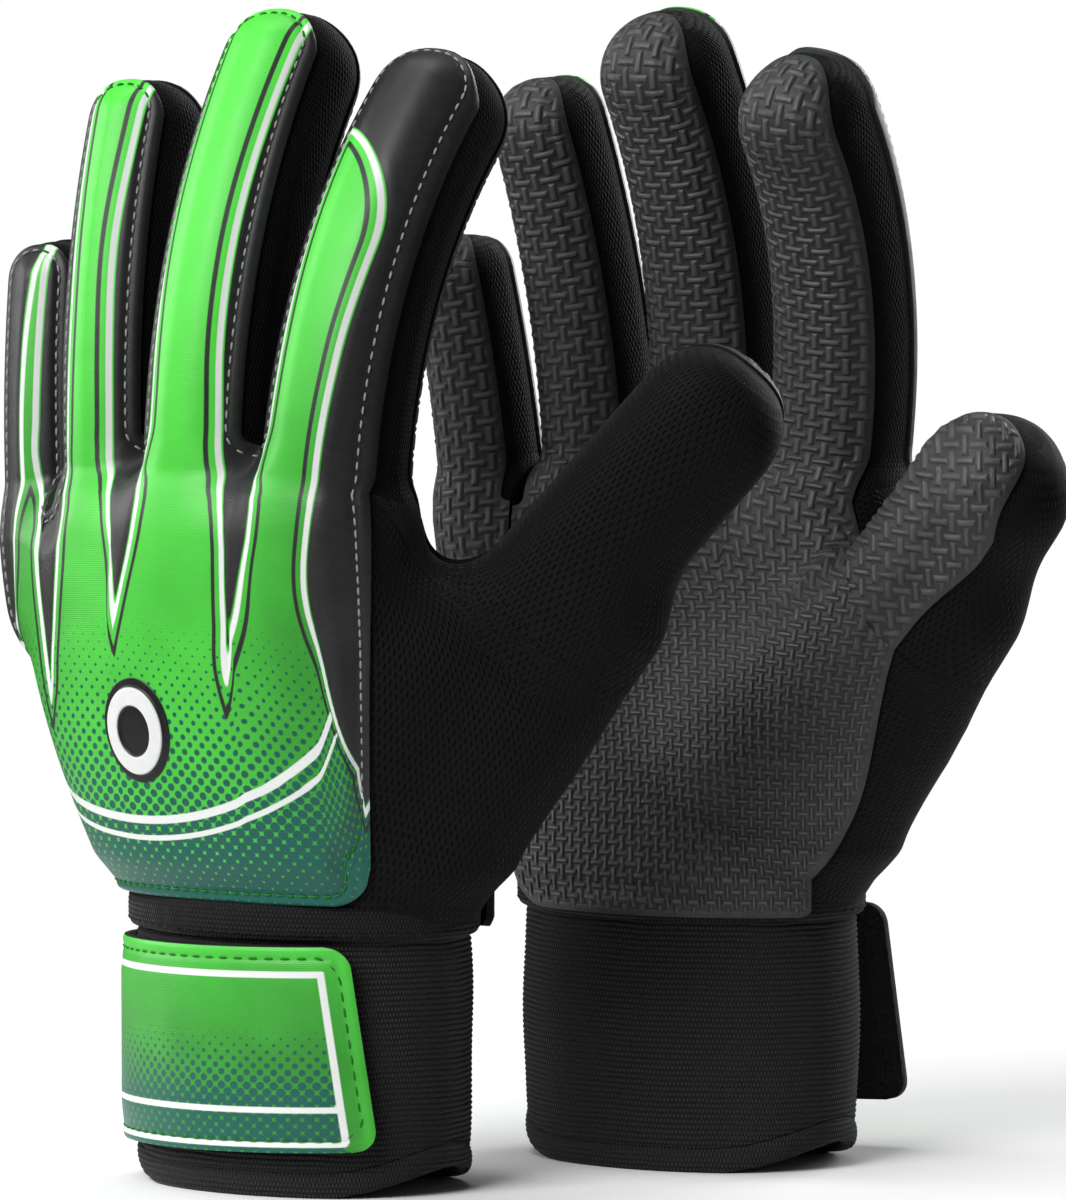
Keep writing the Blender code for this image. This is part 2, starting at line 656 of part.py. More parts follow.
def make_fingers(glove):
    """Back, latex face and knit side wall of every finger, hung on its knuckle."""
    form = glove.form
    start = SPLIT_GAP / 2
    for name, limb in form.fingers.items():
        holder = hinge(glove, name, limb, 0.0)
        cover_in, cover_out = finger_covers(name)
        gap = SEAM_GAP / limb.half_depth
        top = limb.pad(1, start, cover_in, cover_out)
        face = limb.pad(-1, start, PALM_COVER, PALM_COVER)
        wall = limb.band(start, polar(cover_in) + gap, polar(cover_out) + gap,
                         math.pi - polar(PALM_COVER) - gap, WALL_SHARES)
        glove.sheet(f"{name}_back", top, BACK_WALL, "print", limb.distance, holder)
        glove.sheet(f"{name}_palm", face, LATEX_WALL, "latex", limb.distance, holder)
        glove.sheet(f"{name}_gusset", wall, KNIT_WALL, "knit", limb.distance, holder)


def make_thumb(glove):
    """Latex face and mesh sleeve of the thumb, hung on its root."""
    limb = glove.form.thumb
    start = THUMB_SPLIT + SPLIT_GAP / 2
    holder = hinge(glove, "thumb", limb, THUMB_SPLIT)
    gap = SEAM_GAP / limb.half_depth
    face = limb.pad(-1, start, THUMB_COVER, THUMB_COVER)
    sleeve = limb.band(start, 0.0, 0.0, math.pi - polar(THUMB_COVER) - gap, SLEEVE_SHARES)
    glove.sheet("thumb_palm", face, LATEX_WALL, "latex", limb.distance, holder)
    glove.sheet("thumb_sleeve", sleeve, KNIT_WALL, "knit", limb.distance, holder)


def make_badge(glove):
    """Moulded badge, a rounded plate laid on the back of the hand."""
    form = glove.form
    u, v = np.meshgrid(np.linspace(-1, 1, 6), np.linspace(-1, 1, 6))
    across = BADGE_ACROSS + BADGE_WIDTH / 2 * u * np.sqrt(1 - v * v / 2)
    up = BADGE_UP + BADGE_HEIGHT / 2 * v * np.sqrt(1 - u * u / 2)
    flat = np.stack([across, np.full_like(across, KNUCKLE_RISE + WRIST_HALF_DEPTH), up], axis=-1)
    plate = form.settle(flat, CLEARANCE)
    glove.sheet("badge", plate, BADGE_THICKNESS, "rubber", form.distance, outward=True)


def strap_path(hand):
    """Points of the strap's inner line round the cuff, and how far each lies along the strap."""
    lift = STRAP_LIFT_ANGLES[hand]
    angle = np.radians(np.linspace(STRAP_SEWN_ANGLE, lift, 200))
    line = np.stack(oval(CLEARANCE, angle), axis=-1)
    heading = unit(line[-1] - line[-2])
    free = line[-1] + heading * np.linspace(0.0, STRAP_LENGTH, 40)[1:, None]
    line = np.concatenate([line, free])
    run = np.concatenate([[0.0], np.cumsum(np.linalg.norm(np.diff(line, axis=0), axis=1))])
    return line, run


def strap_seat(where):
    """How far a layer sinks to the cuff, whole at the sewn end and none where the tapes begin."""
    share = np.clip((where - STRAP_SEWN) / (STRAP_LENGTH - HOOK_LENGTH - STRAP_SEWN), 0.0, 1.0)
    sink = 2 * (TAPE_WALL + CLEARANCE) - STRAP_STITCH_GAP
    return sink * (1 - share * share * (3 - 2 * share))


def strap_sheet(hand, offset, start, end, margin, columns):
    """Grid of one layer of the strap, an offset out from its inner line."""
    line, run = strap_path(hand)
    corner = max(STRAP_CORNER - margin, 0.5 * MM)
    low, high = margin, STRAP_WIDTH - margin
    heights = np.array([low, low + corner, high - corner, high])
    ends = end - STRAP_SLANT * heights / STRAP_WIDTH - margin - np.array([corner, 0.0, 0.0, corner])
    share = np.linspace(0.0, 1.0, columns)
    where = start + margin + (ends[:, None] - start - margin) * share
    flat = [np.interp(where, run, line[:, k]) for k in range(2)]
    slope = [np.interp(where + MM, run, line[:, k]) - np.interp(where - MM, run, line[:, k]) for k in range(2)]
    size = np.hypot(*slope)
    out = (-slope[1] / size, slope[0] / size)
    z = STRAP_BASE + heights[:, None] + STRAP_RISE * where / STRAP_LENGTH
    lift = offset - strap_seat(where)
    return np.stack([flat[0] + out[0] * lift, flat[1] + out[1] * lift, z], axis=-1)


def away_from_cuff(points):
    """Distance out from the cuff's axis."""
    return np.hypot(points[..., 0], points[..., 1])


def make_strap(glove):
    """Strap face, backing and hook tape on the strap's hinge, and the loop tape on the cuff."""
    hand = glove.hand
    hook_offset = TAPE_WALL + CLEARANCE
    backing_offset = 2 * hook_offset
    face_offset = backing_offset + BACKING_WALL + CLEARANCE
    outside = face_offset + FACE_WALL
    sewn = strap_sheet(hand, outside, 0.0, STRAP_LENGTH, 0.0, STRAP_COLUMNS)[0, 0]
    pivot = np.array((sewn[0], sewn[1], STRAP_BASE + STRAP_WIDTH / 2))
    holder = glove.empty("strap", glove.base, pivot)
    layers = [
        ("strap_backing", backing_offset, BACKING_WALL, 0.0, 0.0, "knit"),
        ("strap_face", face_offset, FACE_WALL, 0.0, 0.0, "print"),
        ("strap_hook", hook_offset, TAPE_WALL, STRAP_LENGTH - HOOK_LENGTH, HOOK_MARGIN, "knit"),
    ]
    for name, offset, wall, start, margin, kind in layers:
        columns = STRAP_COLUMNS - (STRAP_COLUMNS // 2 if start else 0)
        grid = strap_sheet(hand, offset, start, STRAP_LENGTH, margin, columns)
        glove.sheet(name, grid, wall, kind, away_from_cuff, holder, outward=True)
    pad = strap_sheet("left", 0.0, STRAP_LENGTH - HOOK_LENGTH, STRAP_LENGTH, HOOK_MARGIN, STRAP_COLUMNS // 2)
    glove.sheet("loop_pad", pad, TAPE_WALL, "knit", away_from_cuff, outward=True)


def main():
    """Build both gloves."""
    for item in list(bpy.data.objects):
        bpy.data.objects.remove(item, do_unlink=True)
    collection = bpy.data.collections.new(COLLECTION)
    bpy.context.scene.collection.children.link(collection)
    for hand, place in (("left", LEFT_PLACE), ("right", RIGHT_PLACE)):
        glove = Glove(hand, place, collection)
        make_cuff(glove)
        make_hand(glove)
        make_fingers(glove)
        make_thumb(glove)
        make_badge(glove)
        make_strap(glove)
    bpy.context.view_layer.update()


if __name__ == "__main__":
    main()
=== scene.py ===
"""Looks of a pair of padded goalkeeper gloves standing on their cuffs.

Every fabric piece is a grid of points laid on one smooth hand form, then raised by a
height that depends on its place: flat flanges along the cut edges, a groove under the
stitches, foam puffed up inside, an embossed weave on the latex, ribs on the elastic.
Lengths are millimetres in a glove's own axes: a to the thumb, n out of the back of the
hand, z up. Points turn into metres of the shared frame when a mesh is made.
"""

from __future__ import annotations

import logging
import math
from dataclasses import dataclass
from enum import Enum

import bpy
import numpy as np
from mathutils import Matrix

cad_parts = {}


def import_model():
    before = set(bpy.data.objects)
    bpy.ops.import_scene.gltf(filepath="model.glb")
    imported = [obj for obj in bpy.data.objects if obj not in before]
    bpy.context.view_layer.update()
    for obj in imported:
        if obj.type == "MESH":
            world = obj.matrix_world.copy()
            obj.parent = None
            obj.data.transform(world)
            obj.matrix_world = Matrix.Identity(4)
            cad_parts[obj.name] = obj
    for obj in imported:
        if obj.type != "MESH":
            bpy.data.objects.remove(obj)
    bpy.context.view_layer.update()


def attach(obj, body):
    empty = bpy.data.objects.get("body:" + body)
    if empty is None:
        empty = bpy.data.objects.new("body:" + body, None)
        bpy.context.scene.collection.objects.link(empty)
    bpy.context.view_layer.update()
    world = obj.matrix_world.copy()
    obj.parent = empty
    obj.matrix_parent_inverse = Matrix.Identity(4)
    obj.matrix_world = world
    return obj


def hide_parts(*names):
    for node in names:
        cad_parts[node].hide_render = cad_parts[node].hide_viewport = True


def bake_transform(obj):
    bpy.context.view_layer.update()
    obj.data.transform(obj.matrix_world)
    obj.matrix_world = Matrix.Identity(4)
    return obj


Array = np.ndarray
LOG = logging.getLogger("gloves")
METRE = 0.001
ROUNDNESS = 2.35
FLAT_UNIT = 0.01


class Hand(Enum):
    """Which hand a glove is for."""

    LEFT = "left"
    RIGHT = "right"


class Face(Enum):
    """Side of the hand, as the sign of the way out along the back."""

    BACK = 1
    PALM = -1


def unit(vectors: Array) -> Array:
    """Return vectors at length one."""
    return vectors / np.maximum(np.linalg.norm(vectors, axis=-1, keepdims=True), 1e-9)


def smooth(value: Array, low: float, high: float) -> Array:
    """Smooth step from 0 at low to 1 at high, cubic with level ends."""
    share = np.clip((value - low) / (high - low), 0.0, 1.0)
    return share * share * (3 - 2 * share)


def smooth_union(first: Array, second: Array, reach: Array | float) -> Array:
    """Join two distance fields with a fillet of the given reach."""
    share = np.clip(0.5 + 0.5 * (second - first) / reach, 0.0, 1.0)
    return second * (1 - share) + first * share - reach * share * (1 - share)


def power(value: Array) -> Array:
    """Shape a sine or cosine so that a section follows the form's roundness."""
    return np.sign(value) * np.abs(value) ** (2 / ROUNDNESS)


def hermite(where: Array, knots: Array, values: Array) -> Array:
    """Cubic curve through values at knots, with slopes from their neighbours.

    Args:
        where: Places to read the curve at.
        knots: Rising places of the values.
        values: One row per knot.

    Returns:
        One row per place.
    """
    slopes = np.gradient(values, knots, axis=0)
    k = np.clip(np.searchsorted(knots, where, "right") - 1, 0, len(knots) - 2)
    span = (knots[k + 1] - knots[k])
    u = (where - knots[k]) / span
    shape = (-1,) + (1,) * (values.ndim - 1)
    u, span = u.reshape(shape), span.reshape(shape)
    start = (2 * u**3 - 3 * u**2 + 1) * values[k] + (u**3 - 2 * u**2 + u) * span * slopes[k]
    return start + (3 * u**2 - 2 * u**3) * values[k + 1] + (u**3 - u**2) * span * slopes[k + 1]


def run_length(line: Array) -> Array:
    """Length along a line of points up to each of them."""
    return np.concatenate([[0.0], np.cumsum(np.linalg.norm(np.diff(line, axis=0), axis=1))])


def resample(line: Array, step: float) -> Array:
    """Points along a line, evenly spaced at about a step."""
    run = run_length(line)
    count = max(2, int(round(run[-1] / step)) + 1)
    where = np.linspace(0.0, run[-1], count)
    return np.stack([np.interp(where, run, line[:, k]) for k in range(line.shape[1])], axis=-1)


def coons(first: Array, last: Array, left: Array, right: Array, across: Array, along: Array) -> Array:
    """Grid between four border lines: both ruled surfaces less the corners' bilinear one."""
    u, v = across[None, :, None], along[:, None, None]
    ruled = (1 - v) * first + v * last + (1 - u) * left[:, None] + u * right[:, None]
    corners = (1 - v) * ((1 - u) * first[0] + u * first[-1]) + v * ((1 - u) * last[0] + u * last[-1])
    return ruled - corners


@dataclass(frozen=True)
class Stand:
    """Where a glove stands in the shared frame."""

    hand: Hand
    place: tuple[float, float]
    turn: float = -34.0

    def aim(self, vectors: Array) -> Array:
        """Turn directions of the glove's axes into the frame: mirror n for a left hand, then turn."""
        a, n, z = vectors[..., 0], vectors[..., 1], vectors[..., 2]
        n = -n if self.hand is Hand.LEFT else n
        cosine, sine = math.cos(math.radians(self.turn)), math.sin(math.radians(self.turn))
        return np.stack([a * cosine - n * sine, a * sine + n * cosine, z], axis=-1)

    def world(self, points: Array) -> Array:
        """Points of the glove's axes in metres of the shared frame."""
        return (self.aim(points) + np.array((*self.place, 0.0))) * METRE


@dataclass(frozen=True)
class Stall:
    """Sizes of one finger stall, measured from the knuckle line where it bends."""

    knuckle: float
    half_width: float
    half_depth: float
    length: float
    curl: float
    splay: float


STALLS = {
    "index": Stall(143.5, 14.0, 13.4, 90.0, 50.0, 2.8),
    "middle": Stall(144.5, 13.8, 13.4, 95.0, 40.5, 1.4),
    "ring": Stall(142.8, 11.3, 12.0, 80.0, 25.0, -0.8),
    "pinky": Stall(133.0, 9.9, 10.8, 56.0, 12.5, -2.5),
}
ACROSS = ("pinky", "ring", "middle", "index")


@dataclass
class Limb:
    """A finger or thumb stall: a rounded section swept along an arc that curls to the palm."""

    root: Array
    up: Array
    face: Array
    lean: float
    curl: float
    length: float
    tail: float
    half_width: float
    half_depth: float
    taper: float

    def __post_init__(self) -> None:
        """Square the axes up and work out the arc."""
        self.root, self.up = np.array(self.root, float), unit(np.array(self.up, float))
        face = np.array(self.face, float)
        self.face = unit(face - self.up * (face @ self.up))
        self.side = np.cross(self.up, self.face)
        self.lean = math.radians(self.lean)
        self.bend = math.radians(self.curl) / self.length
        self.cap = self.length - self.half_width * self.taper

    def section(self, t: Array) -> tuple[Array, Array]:
        """Half width and half depth at a distance along the limb."""
        share = 1 + (self.taper - 1) * np.clip(t / self.length, 0.0, 1.0)
        return self.half_width * share, self.half_depth * share

    def frame(self, t: Array) -> tuple[Array, Array, Array]:
        """Centre, way ahead and way out of the back at a distance along the arc."""
        t = np.asarray(t, float)
        arc = np.minimum(t, self.cap)
        angle = self.lean + self.bend * arc
        rise = (np.sin(angle) - math.sin(self.lean)) / self.bend
        sway = (math.cos(self.lean) - np.cos(angle)) / self.bend
        cosine, sine = np.cos(angle)[..., None], np.sin(angle)[..., None]
        ahead = self.up * cosine + self.face * sine
        back = self.up * sine - self.face * cosine
        centre = self.root + self.up * rise[..., None] + self.face * sway[..., None]
        return centre + ahead * (t - arc)[..., None], ahead, back

    def place(self, x: Array, t: Array, d: Array) -> Array:
        """Point at x across, t along and d out of the back of the limb."""
        centre, _, back = self.frame(t)
        return centre + self.side * np.asarray(x)[..., None] + back * np.asarray(d)[..., None]

    def distance(self, points: Array) -> Array:
        """Distance field of the limb, zero on its surface."""
        offset = points - self.root
        u, v, s = offset @ self.up, offset @ self.face, offset @ self.side
        across = u + math.sin(self.lean) / self.bend
        outward = math.cos(self.lean) / self.bend - v
        t = (np.arctan2(across, outward) - self.lean) / self.bend
        d = np.hypot(across, outward) - 1 / self.bend
        centre, ahead, back = self.frame(np.array(self.cap))
        beyond = t > self.cap
        past = points - centre
        d = np.where(beyond, past @ back, d)
        reach = np.where(beyond, past @ ahead, np.minimum(t + self.tail, 0.0))
        width, depth = self.section(np.where(beyond, self.cap, t))
        total = np.abs(s) ** ROUNDNESS + np.abs(d * width / depth) ** ROUNDNESS + np.abs(reach) ** ROUNDNESS
        return total ** (1 / ROUNDNESS) - width

    def tube(self, start: float, rows: int, around: int, shrink: float) -> tuple[Array, Array]:
        """Whole skin of the limb: rings along the arc, then rings closing over the tip.

        Args:
            start: Distance along the limb of the first ring.
            rows: Rings up to the tip's centre.
            around: Points round a ring, from the middle of the face.
            shrink: Depth under the limb's surface.

        Returns:
            Points, and flat coordinates as the way round and the way along.
        """
        turn = np.linspace(0.0, math.pi / 2, 14)[1:]
        t = np.concatenate([np.linspace(start, self.cap, rows), np.full(len(turn), self.cap)])
        size = np.concatenate([np.ones(rows), power(np.cos(turn))])
        size[-1] = 0.0
        past = np.concatenate([np.zeros(rows), power(np.sin(turn))])
        width, depth = self.section(t)
        width, depth = width - shrink, depth - shrink
        angle = np.linspace(-math.pi, math.pi, around, endpoint=False)
        x = (width * size)[:, None] * power(np.sin(angle))
        d = (depth * size)[:, None] * power(np.cos(angle))
        ahead = t + past * width
        points = self.place(x, np.broadcast_to(ahead[:, None], x.shape), d)
        flat = np.stack([np.broadcast_to(angle * self.half_width, x.shape),
                         np.broadcast_to(ahead[:, None], x.shape)], axis=-1)
        return points, flat


class HandForm:
    """The smooth outer form of one glove, with its four fingers and its thumb."""

    bottom = 58.8
    top = 139.0
    knuckles = 146.0
    wrist_half = (39.0, 26.5)
    knuckle_depth = 13.6
    rise = 21.0
    arch = (13.0, 62.0, 8.0)
    index_place = 22.5
    finger_gap = 0.9
    thumb_root = (25.0, -1.0, 86.0)
    thumb_tips = {Hand.LEFT: (98.0, -15.0, 166.0), Hand.RIGHT: (90.0, -16.0, 151.0)}
    thumb_split = 45.0
    finger_face = (0.0, -1.0, 0.0)
    finger_lean = -1.7
    finger_tail = 16.0
    finger_taper = 0.95
    thumb_face = (-0.57, -0.82, 0.0)
    thumb_lean = -8.0
    thumb_curl = 16.0
    thumb_half = (16.4, 15.2)
    thumb_taper = 0.94
    bow_way = (0.42, 0.91, 0.0)
    heel = ((36.5, 0.0, 66.0), (69.0, -7.0, 114.0), 9.6)
    heel_sink = 6.0
    heel_fade = (56.0, 66.0)
    least_fillet = 0.5
    finger_fillet = 8.5
    thumb_fillet = 19.5
    heel_fillet = 15.0
    top_fillet = 8.0
    search_reach = 40.0
    search_rounds = 24
    even_rounds = 30
    spread = {Hand.LEFT: {"index": 2.5, "ring": -1.5},
              Hand.RIGHT: {"index": 4.5, "ring": -4.0, "pinky": -4.5}}

    def __init__(self, hand: Hand) -> None:
        """Set the limbs on the knuckle row, which drops towards the little finger."""
        self.fingers: dict[str, Limb] = {}
        self.centres: dict[str, float] = {}
        across, last = self.index_place, None
        for name, stall in STALLS.items():
            if last:
                across -= last.half_width + self.finger_gap + stall.half_width
            splay = math.radians(stall.splay + self.spread[hand].get(name, 0.0))
            root = (across, self.rise - self.sag(across, 1.0), stall.knuckle)
            up = (math.sin(splay), 0.0, math.cos(splay))
            self.fingers[name] = Limb(root, up, self.finger_face, self.finger_lean, stall.curl, stall.length,
                                      self.finger_tail, stall.half_width, stall.half_depth, self.finger_taper)
            self.centres[name] = across
            last = stall
        reach = np.array(self.thumb_tips[hand]) - np.array(self.thumb_root)
        self.thumb = Limb(self.thumb_root, reach, self.thumb_face, self.thumb_lean, self.thumb_curl,
                          float(np.linalg.norm(reach)), 0.0, *self.thumb_half, self.thumb_taper)
        thumb_side = self.index_place + STALLS["index"].half_width
        outer_side = across - last.half_width
        self.knuckle_half = (thumb_side - outer_side) / 2
        self.knuckle_centre = (thumb_side + outer_side) / 2

    def section(self, z: Array) -> tuple[Array, Array, Array, Array]:
        """Share of the way up to the knuckles, the hand's half width and half depth, and its rise there."""
        share = np.clip((z - self.bottom) / (self.knuckles - self.bottom), 0.0, 1.0)
        quick = np.sin(share * math.pi / 2)
        half_width = self.wrist_half[0] + (self.knuckle_half - self.wrist_half[0]) * quick
        half_depth = self.wrist_half[1] + (self.knuckle_depth - self.wrist_half[1]) * share**1.2
        return share, half_width, half_depth, self.rise * quick

    def sag(self, across: Array | float, share: Array | float) -> Array | float:
        """Drop of the hand's middle either side of the arch's crest, growing up to the knuckles."""
        drop, reach, crest = self.arch
        return drop * share**1.2 * ((across - crest) / reach) ** 2

    def hand(self, points: Array) -> Array:
        """Distance field of the hand without fingers or thumb: a rounded oval lofted up to the knuckles."""
        across, depth, z = points[..., 0], points[..., 1], points[..., 2]
        share, half_width, half_depth, rise = self.section(z)
        middle = rise - self.sag(across, share)
        ratio = np.abs((across - self.knuckle_centre * share) / half_width) ** ROUNDNESS
        ratio = (ratio + np.abs((depth - middle) / half_depth) ** ROUNDNESS) ** (1 / ROUNDNESS)
        side = (ratio - 1) * np.minimum(half_width, half_depth)
        return -smooth_union(-side, self.top - z, self.top_fillet)

    def distance(self, points: Array) -> Array:
        """Distance field of the whole form, with fillets that fade out along the stalls."""
        z = points[..., 2]
        field = self.hand(points)
        for limb in self.fingers.values():
            fade = np.clip((limb.root[2] + 14.0 - z) / 18.0, 0.0, 1.0)
            field = smooth_union(field, limb.distance(points), self.least_fillet + self.finger_fillet * fade)
        run = (points - self.thumb.root) @ self.thumb.up
        fade = np.clip((self.thumb_split + 12.0 - run) / 26.0, 0.0, 1.0)
        fade = fade * np.clip((z - self.bottom) / 25.0, 0.0, 1.0)
        field = smooth_union(field, self.thumb.distance(points), self.least_fillet + self.thumb_fillet * fade)
        return smooth_union(field, self.ball(points), self.heel_fillet)

    def ball(self, points: Array) -> Array:
        """Distance field of the ball of the thumb: a capsule that sinks in towards the wrist."""
        low, high, radius = np.array(self.heel[0]), np.array(self.heel[1]), self.heel[2]
        way = high - low
        share = np.clip((points - low) @ way / (way @ way), 0.0, 1.0)
        reach = np.linalg.norm(points - low - share[..., None] * way, axis=-1)
        return reach - radius + self.heel_sink * (1 - smooth(points[..., 2], *self.heel_fade))

    def slope(self, points: Array) -> Array:
        """Slope of the distance field, by differences either side."""
        step = 0.02
        rises = [self.distance(points + step * axis) - self.distance(points - step * axis) for axis in np.eye(3)]
        return np.stack(rises, axis=-1) / (2 * step)

    def climb(self, points: Array, level: float) -> Array:
        """Step along the form's slope to a height over its surface, kept short."""
        slope = self.slope(points)
        move = (level - self.distance(points))[..., None] * slope / np.sum(slope**2, axis=-1, keepdims=True)
        size = np.linalg.norm(move, axis=-1, keepdims=True)
        return move * np.minimum(1.0, 3.0 / np.maximum(size, 0.3))

    def settle(self, points: Array, level: float = 0.0, rounds: int = 6) -> Array:
        """Move points until they lie at a height over the form's surface."""
        for _ in range(rounds):
            points = points + self.climb(points, level)
        return points

    def search(self, start: Array, way: Array) -> Array:
        """Surface points along ways out of the form from points inside it, found by halving."""
        low, high = np.zeros(start.shape[:-1]), np.full(start.shape[:-1], self.search_reach)
        for _ in range(self.search_rounds):
            half = (low + high) / 2
            inside = self.distance(start + way * half[..., None]) < 0
            low, high = np.where(inside, half, low), np.where(inside, high, half)
        return start + way * low[..., None]

    def cast(self, limb: Limb, face: Face, x: Array, t: Array) -> Array:
        """Surface points seen from a limb's middle surface along its back or its face."""
        centre, _, back = limb.frame(t)
        return self.search(centre + limb.side * x[..., None], face.value * back)

    def crown(self, limb: Limb, face: Face, x: Array, angle: Array) -> Array:
        """Surface points round a limb's rounded end, seen from its centre at angles from the back or the face."""
        centre, ahead, back = limb.frame(np.array(limb.cap))
        way = face.value * back * np.cos(angle)[..., None] + ahead * np.sin(angle)[..., None]
        return self.search(centre + limb.side * x[..., None], way)

    def seam(self, first: Array, last: Array, count: int, bow: float = 0.0) -> Array:
        """Line laid on the form between two points, its shift kept even along the way.

        It bows to the thumb side by a curve that is highest, and one, at a third of the way.
        """
        knots = np.linspace(0.0, 1.0, 12)
        curve = 6.75 * knots * (1 - knots) ** 2
        line = first + (last - first) * knots[:, None] + np.outer(bow * curve, self.bow_way)
        shift = np.zeros_like(line)
        for _ in range(self.even_rounds):
            shift[1:-1] += self.climb(line[1:-1] + shift[1:-1], 0.0)
            shift[1:-1] = (shift[1:-1] + (shift[:-2] + shift[2:]) / 2) / 2
        fine = hermite(np.linspace(0.0, 1.0, count), knots, line + shift)
        fine[1:-1] = self.settle(fine[1:-1])
        return fine

    def lay(self, first: Array, last: Array, left: Array, right: Array, level: float = 0.0) -> Array:
        """Fine grid on the form between four border lines.

        A coarse patch is laid first, its inner points moving together. Its shift is then
        read smoothly at every fine point, which settles on the form.

        Args:
            first: Border across the panel at its foot.
            last: Border across the panel at its head.
            left: Border from the foot's start to the head's start.
            right: Border from the foot's end to the head's end.
            level: Height over the form's surface.

        Returns:
            Grid of points, rows from foot to head.
        """
        rows, columns = len(left), len(first)
        run = run_length(first + last)
        fine = coons(first, last, left, right, run / run[-1], np.linspace(0.0, 1.0, rows))
        r = np.unique(np.linspace(0, rows - 1, 9).round().astype(int))
        c = np.unique(np.linspace(0, columns - 1, 28).round().astype(int))
        coarse = fine[np.ix_(r, c)]
        shift = np.zeros_like(coarse)
        inner = (slice(1, -1), slice(1, -1))
        for _ in range(self.even_rounds):
            shift[inner] += self.climb(coarse[inner] + shift[inner], level)
            around = shift[:-2, 1:-1] + shift[2:, 1:-1] + shift[1:-1, :-2] + shift[1:-1, 2:]
            shift[inner] = (shift[inner] + around / 4) / 2
        wide = hermite(np.arange(columns, dtype=float), c.astype(float), shift.swapaxes(0, 1)).swapaxes(0, 1)
        fine = fine + hermite(np.arange(rows, dtype=float), r.astype(float), wide)
        fine[inner] = self.settle(fine[inner], level)
        return fine

    def wrist(self, start: float, end: float, shares: Array) -> Array:
        """Points round the lower edge of the hand between two angles from the middle of the back."""
        angle = np.radians(start + (end - start) * shares)
        across = self.wrist_half[0] * power(np.sin(angle))
        depth = self.wrist_half[1] * power(np.cos(angle))
        return np.stack([across, depth, np.full(len(shares), self.bottom)], axis=-1)


@dataclass
class Cloth:
    """A grid of surface points with normals and flat coordinates."""

    points: Array
    normals: Array
    flat: Array

    def raised(self, height: Array | float) -> Array:
        """Points moved out along their normals."""
        return self.points + self.normals * np.asarray(height)[..., None]

    def locate(self, flat: Array) -> tuple[Array, Array]:
        """Surface points and normals at flat places: nearest grid point plus its local slope.

        Args:
            flat: Places as rows of flat coordinates.

        Returns:
            Points and normals, one row each per place.
        """
        grid = self.flat.reshape(-1, 2)
        nearest = np.array([np.argmin(np.sum((grid - spot) ** 2, axis=1)) for spot in flat])
        across = np.gradient(self.points, axis=1).reshape(-1, 3)[nearest]
        along = np.gradient(self.points, axis=0).reshape(-1, 3)[nearest]
        flat_across = np.gradient(self.flat, axis=1).reshape(-1, 2)[nearest]
        flat_along = np.gradient(self.flat, axis=0).reshape(-1, 2)[nearest]
        miss = flat - grid[nearest]
        det = flat_across[:, 0] * flat_along[:, 1] - flat_across[:, 1] * flat_along[:, 0]
        det = np.where(np.abs(det) < 1e-4, 1e9, det)
        u = np.clip((miss[:, 0] * flat_along[:, 1] - miss[:, 1] * flat_along[:, 0]) / det, -1, 1)
        v = np.clip((flat_across[:, 0] * miss[:, 1] - flat_across[:, 1] * miss[:, 0]) / det, -1, 1)
        points = self.points.reshape(-1, 3)[nearest] + across * u[:, None] + along * v[:, None]
        return points, self.normals.reshape(-1, 3)[nearest]


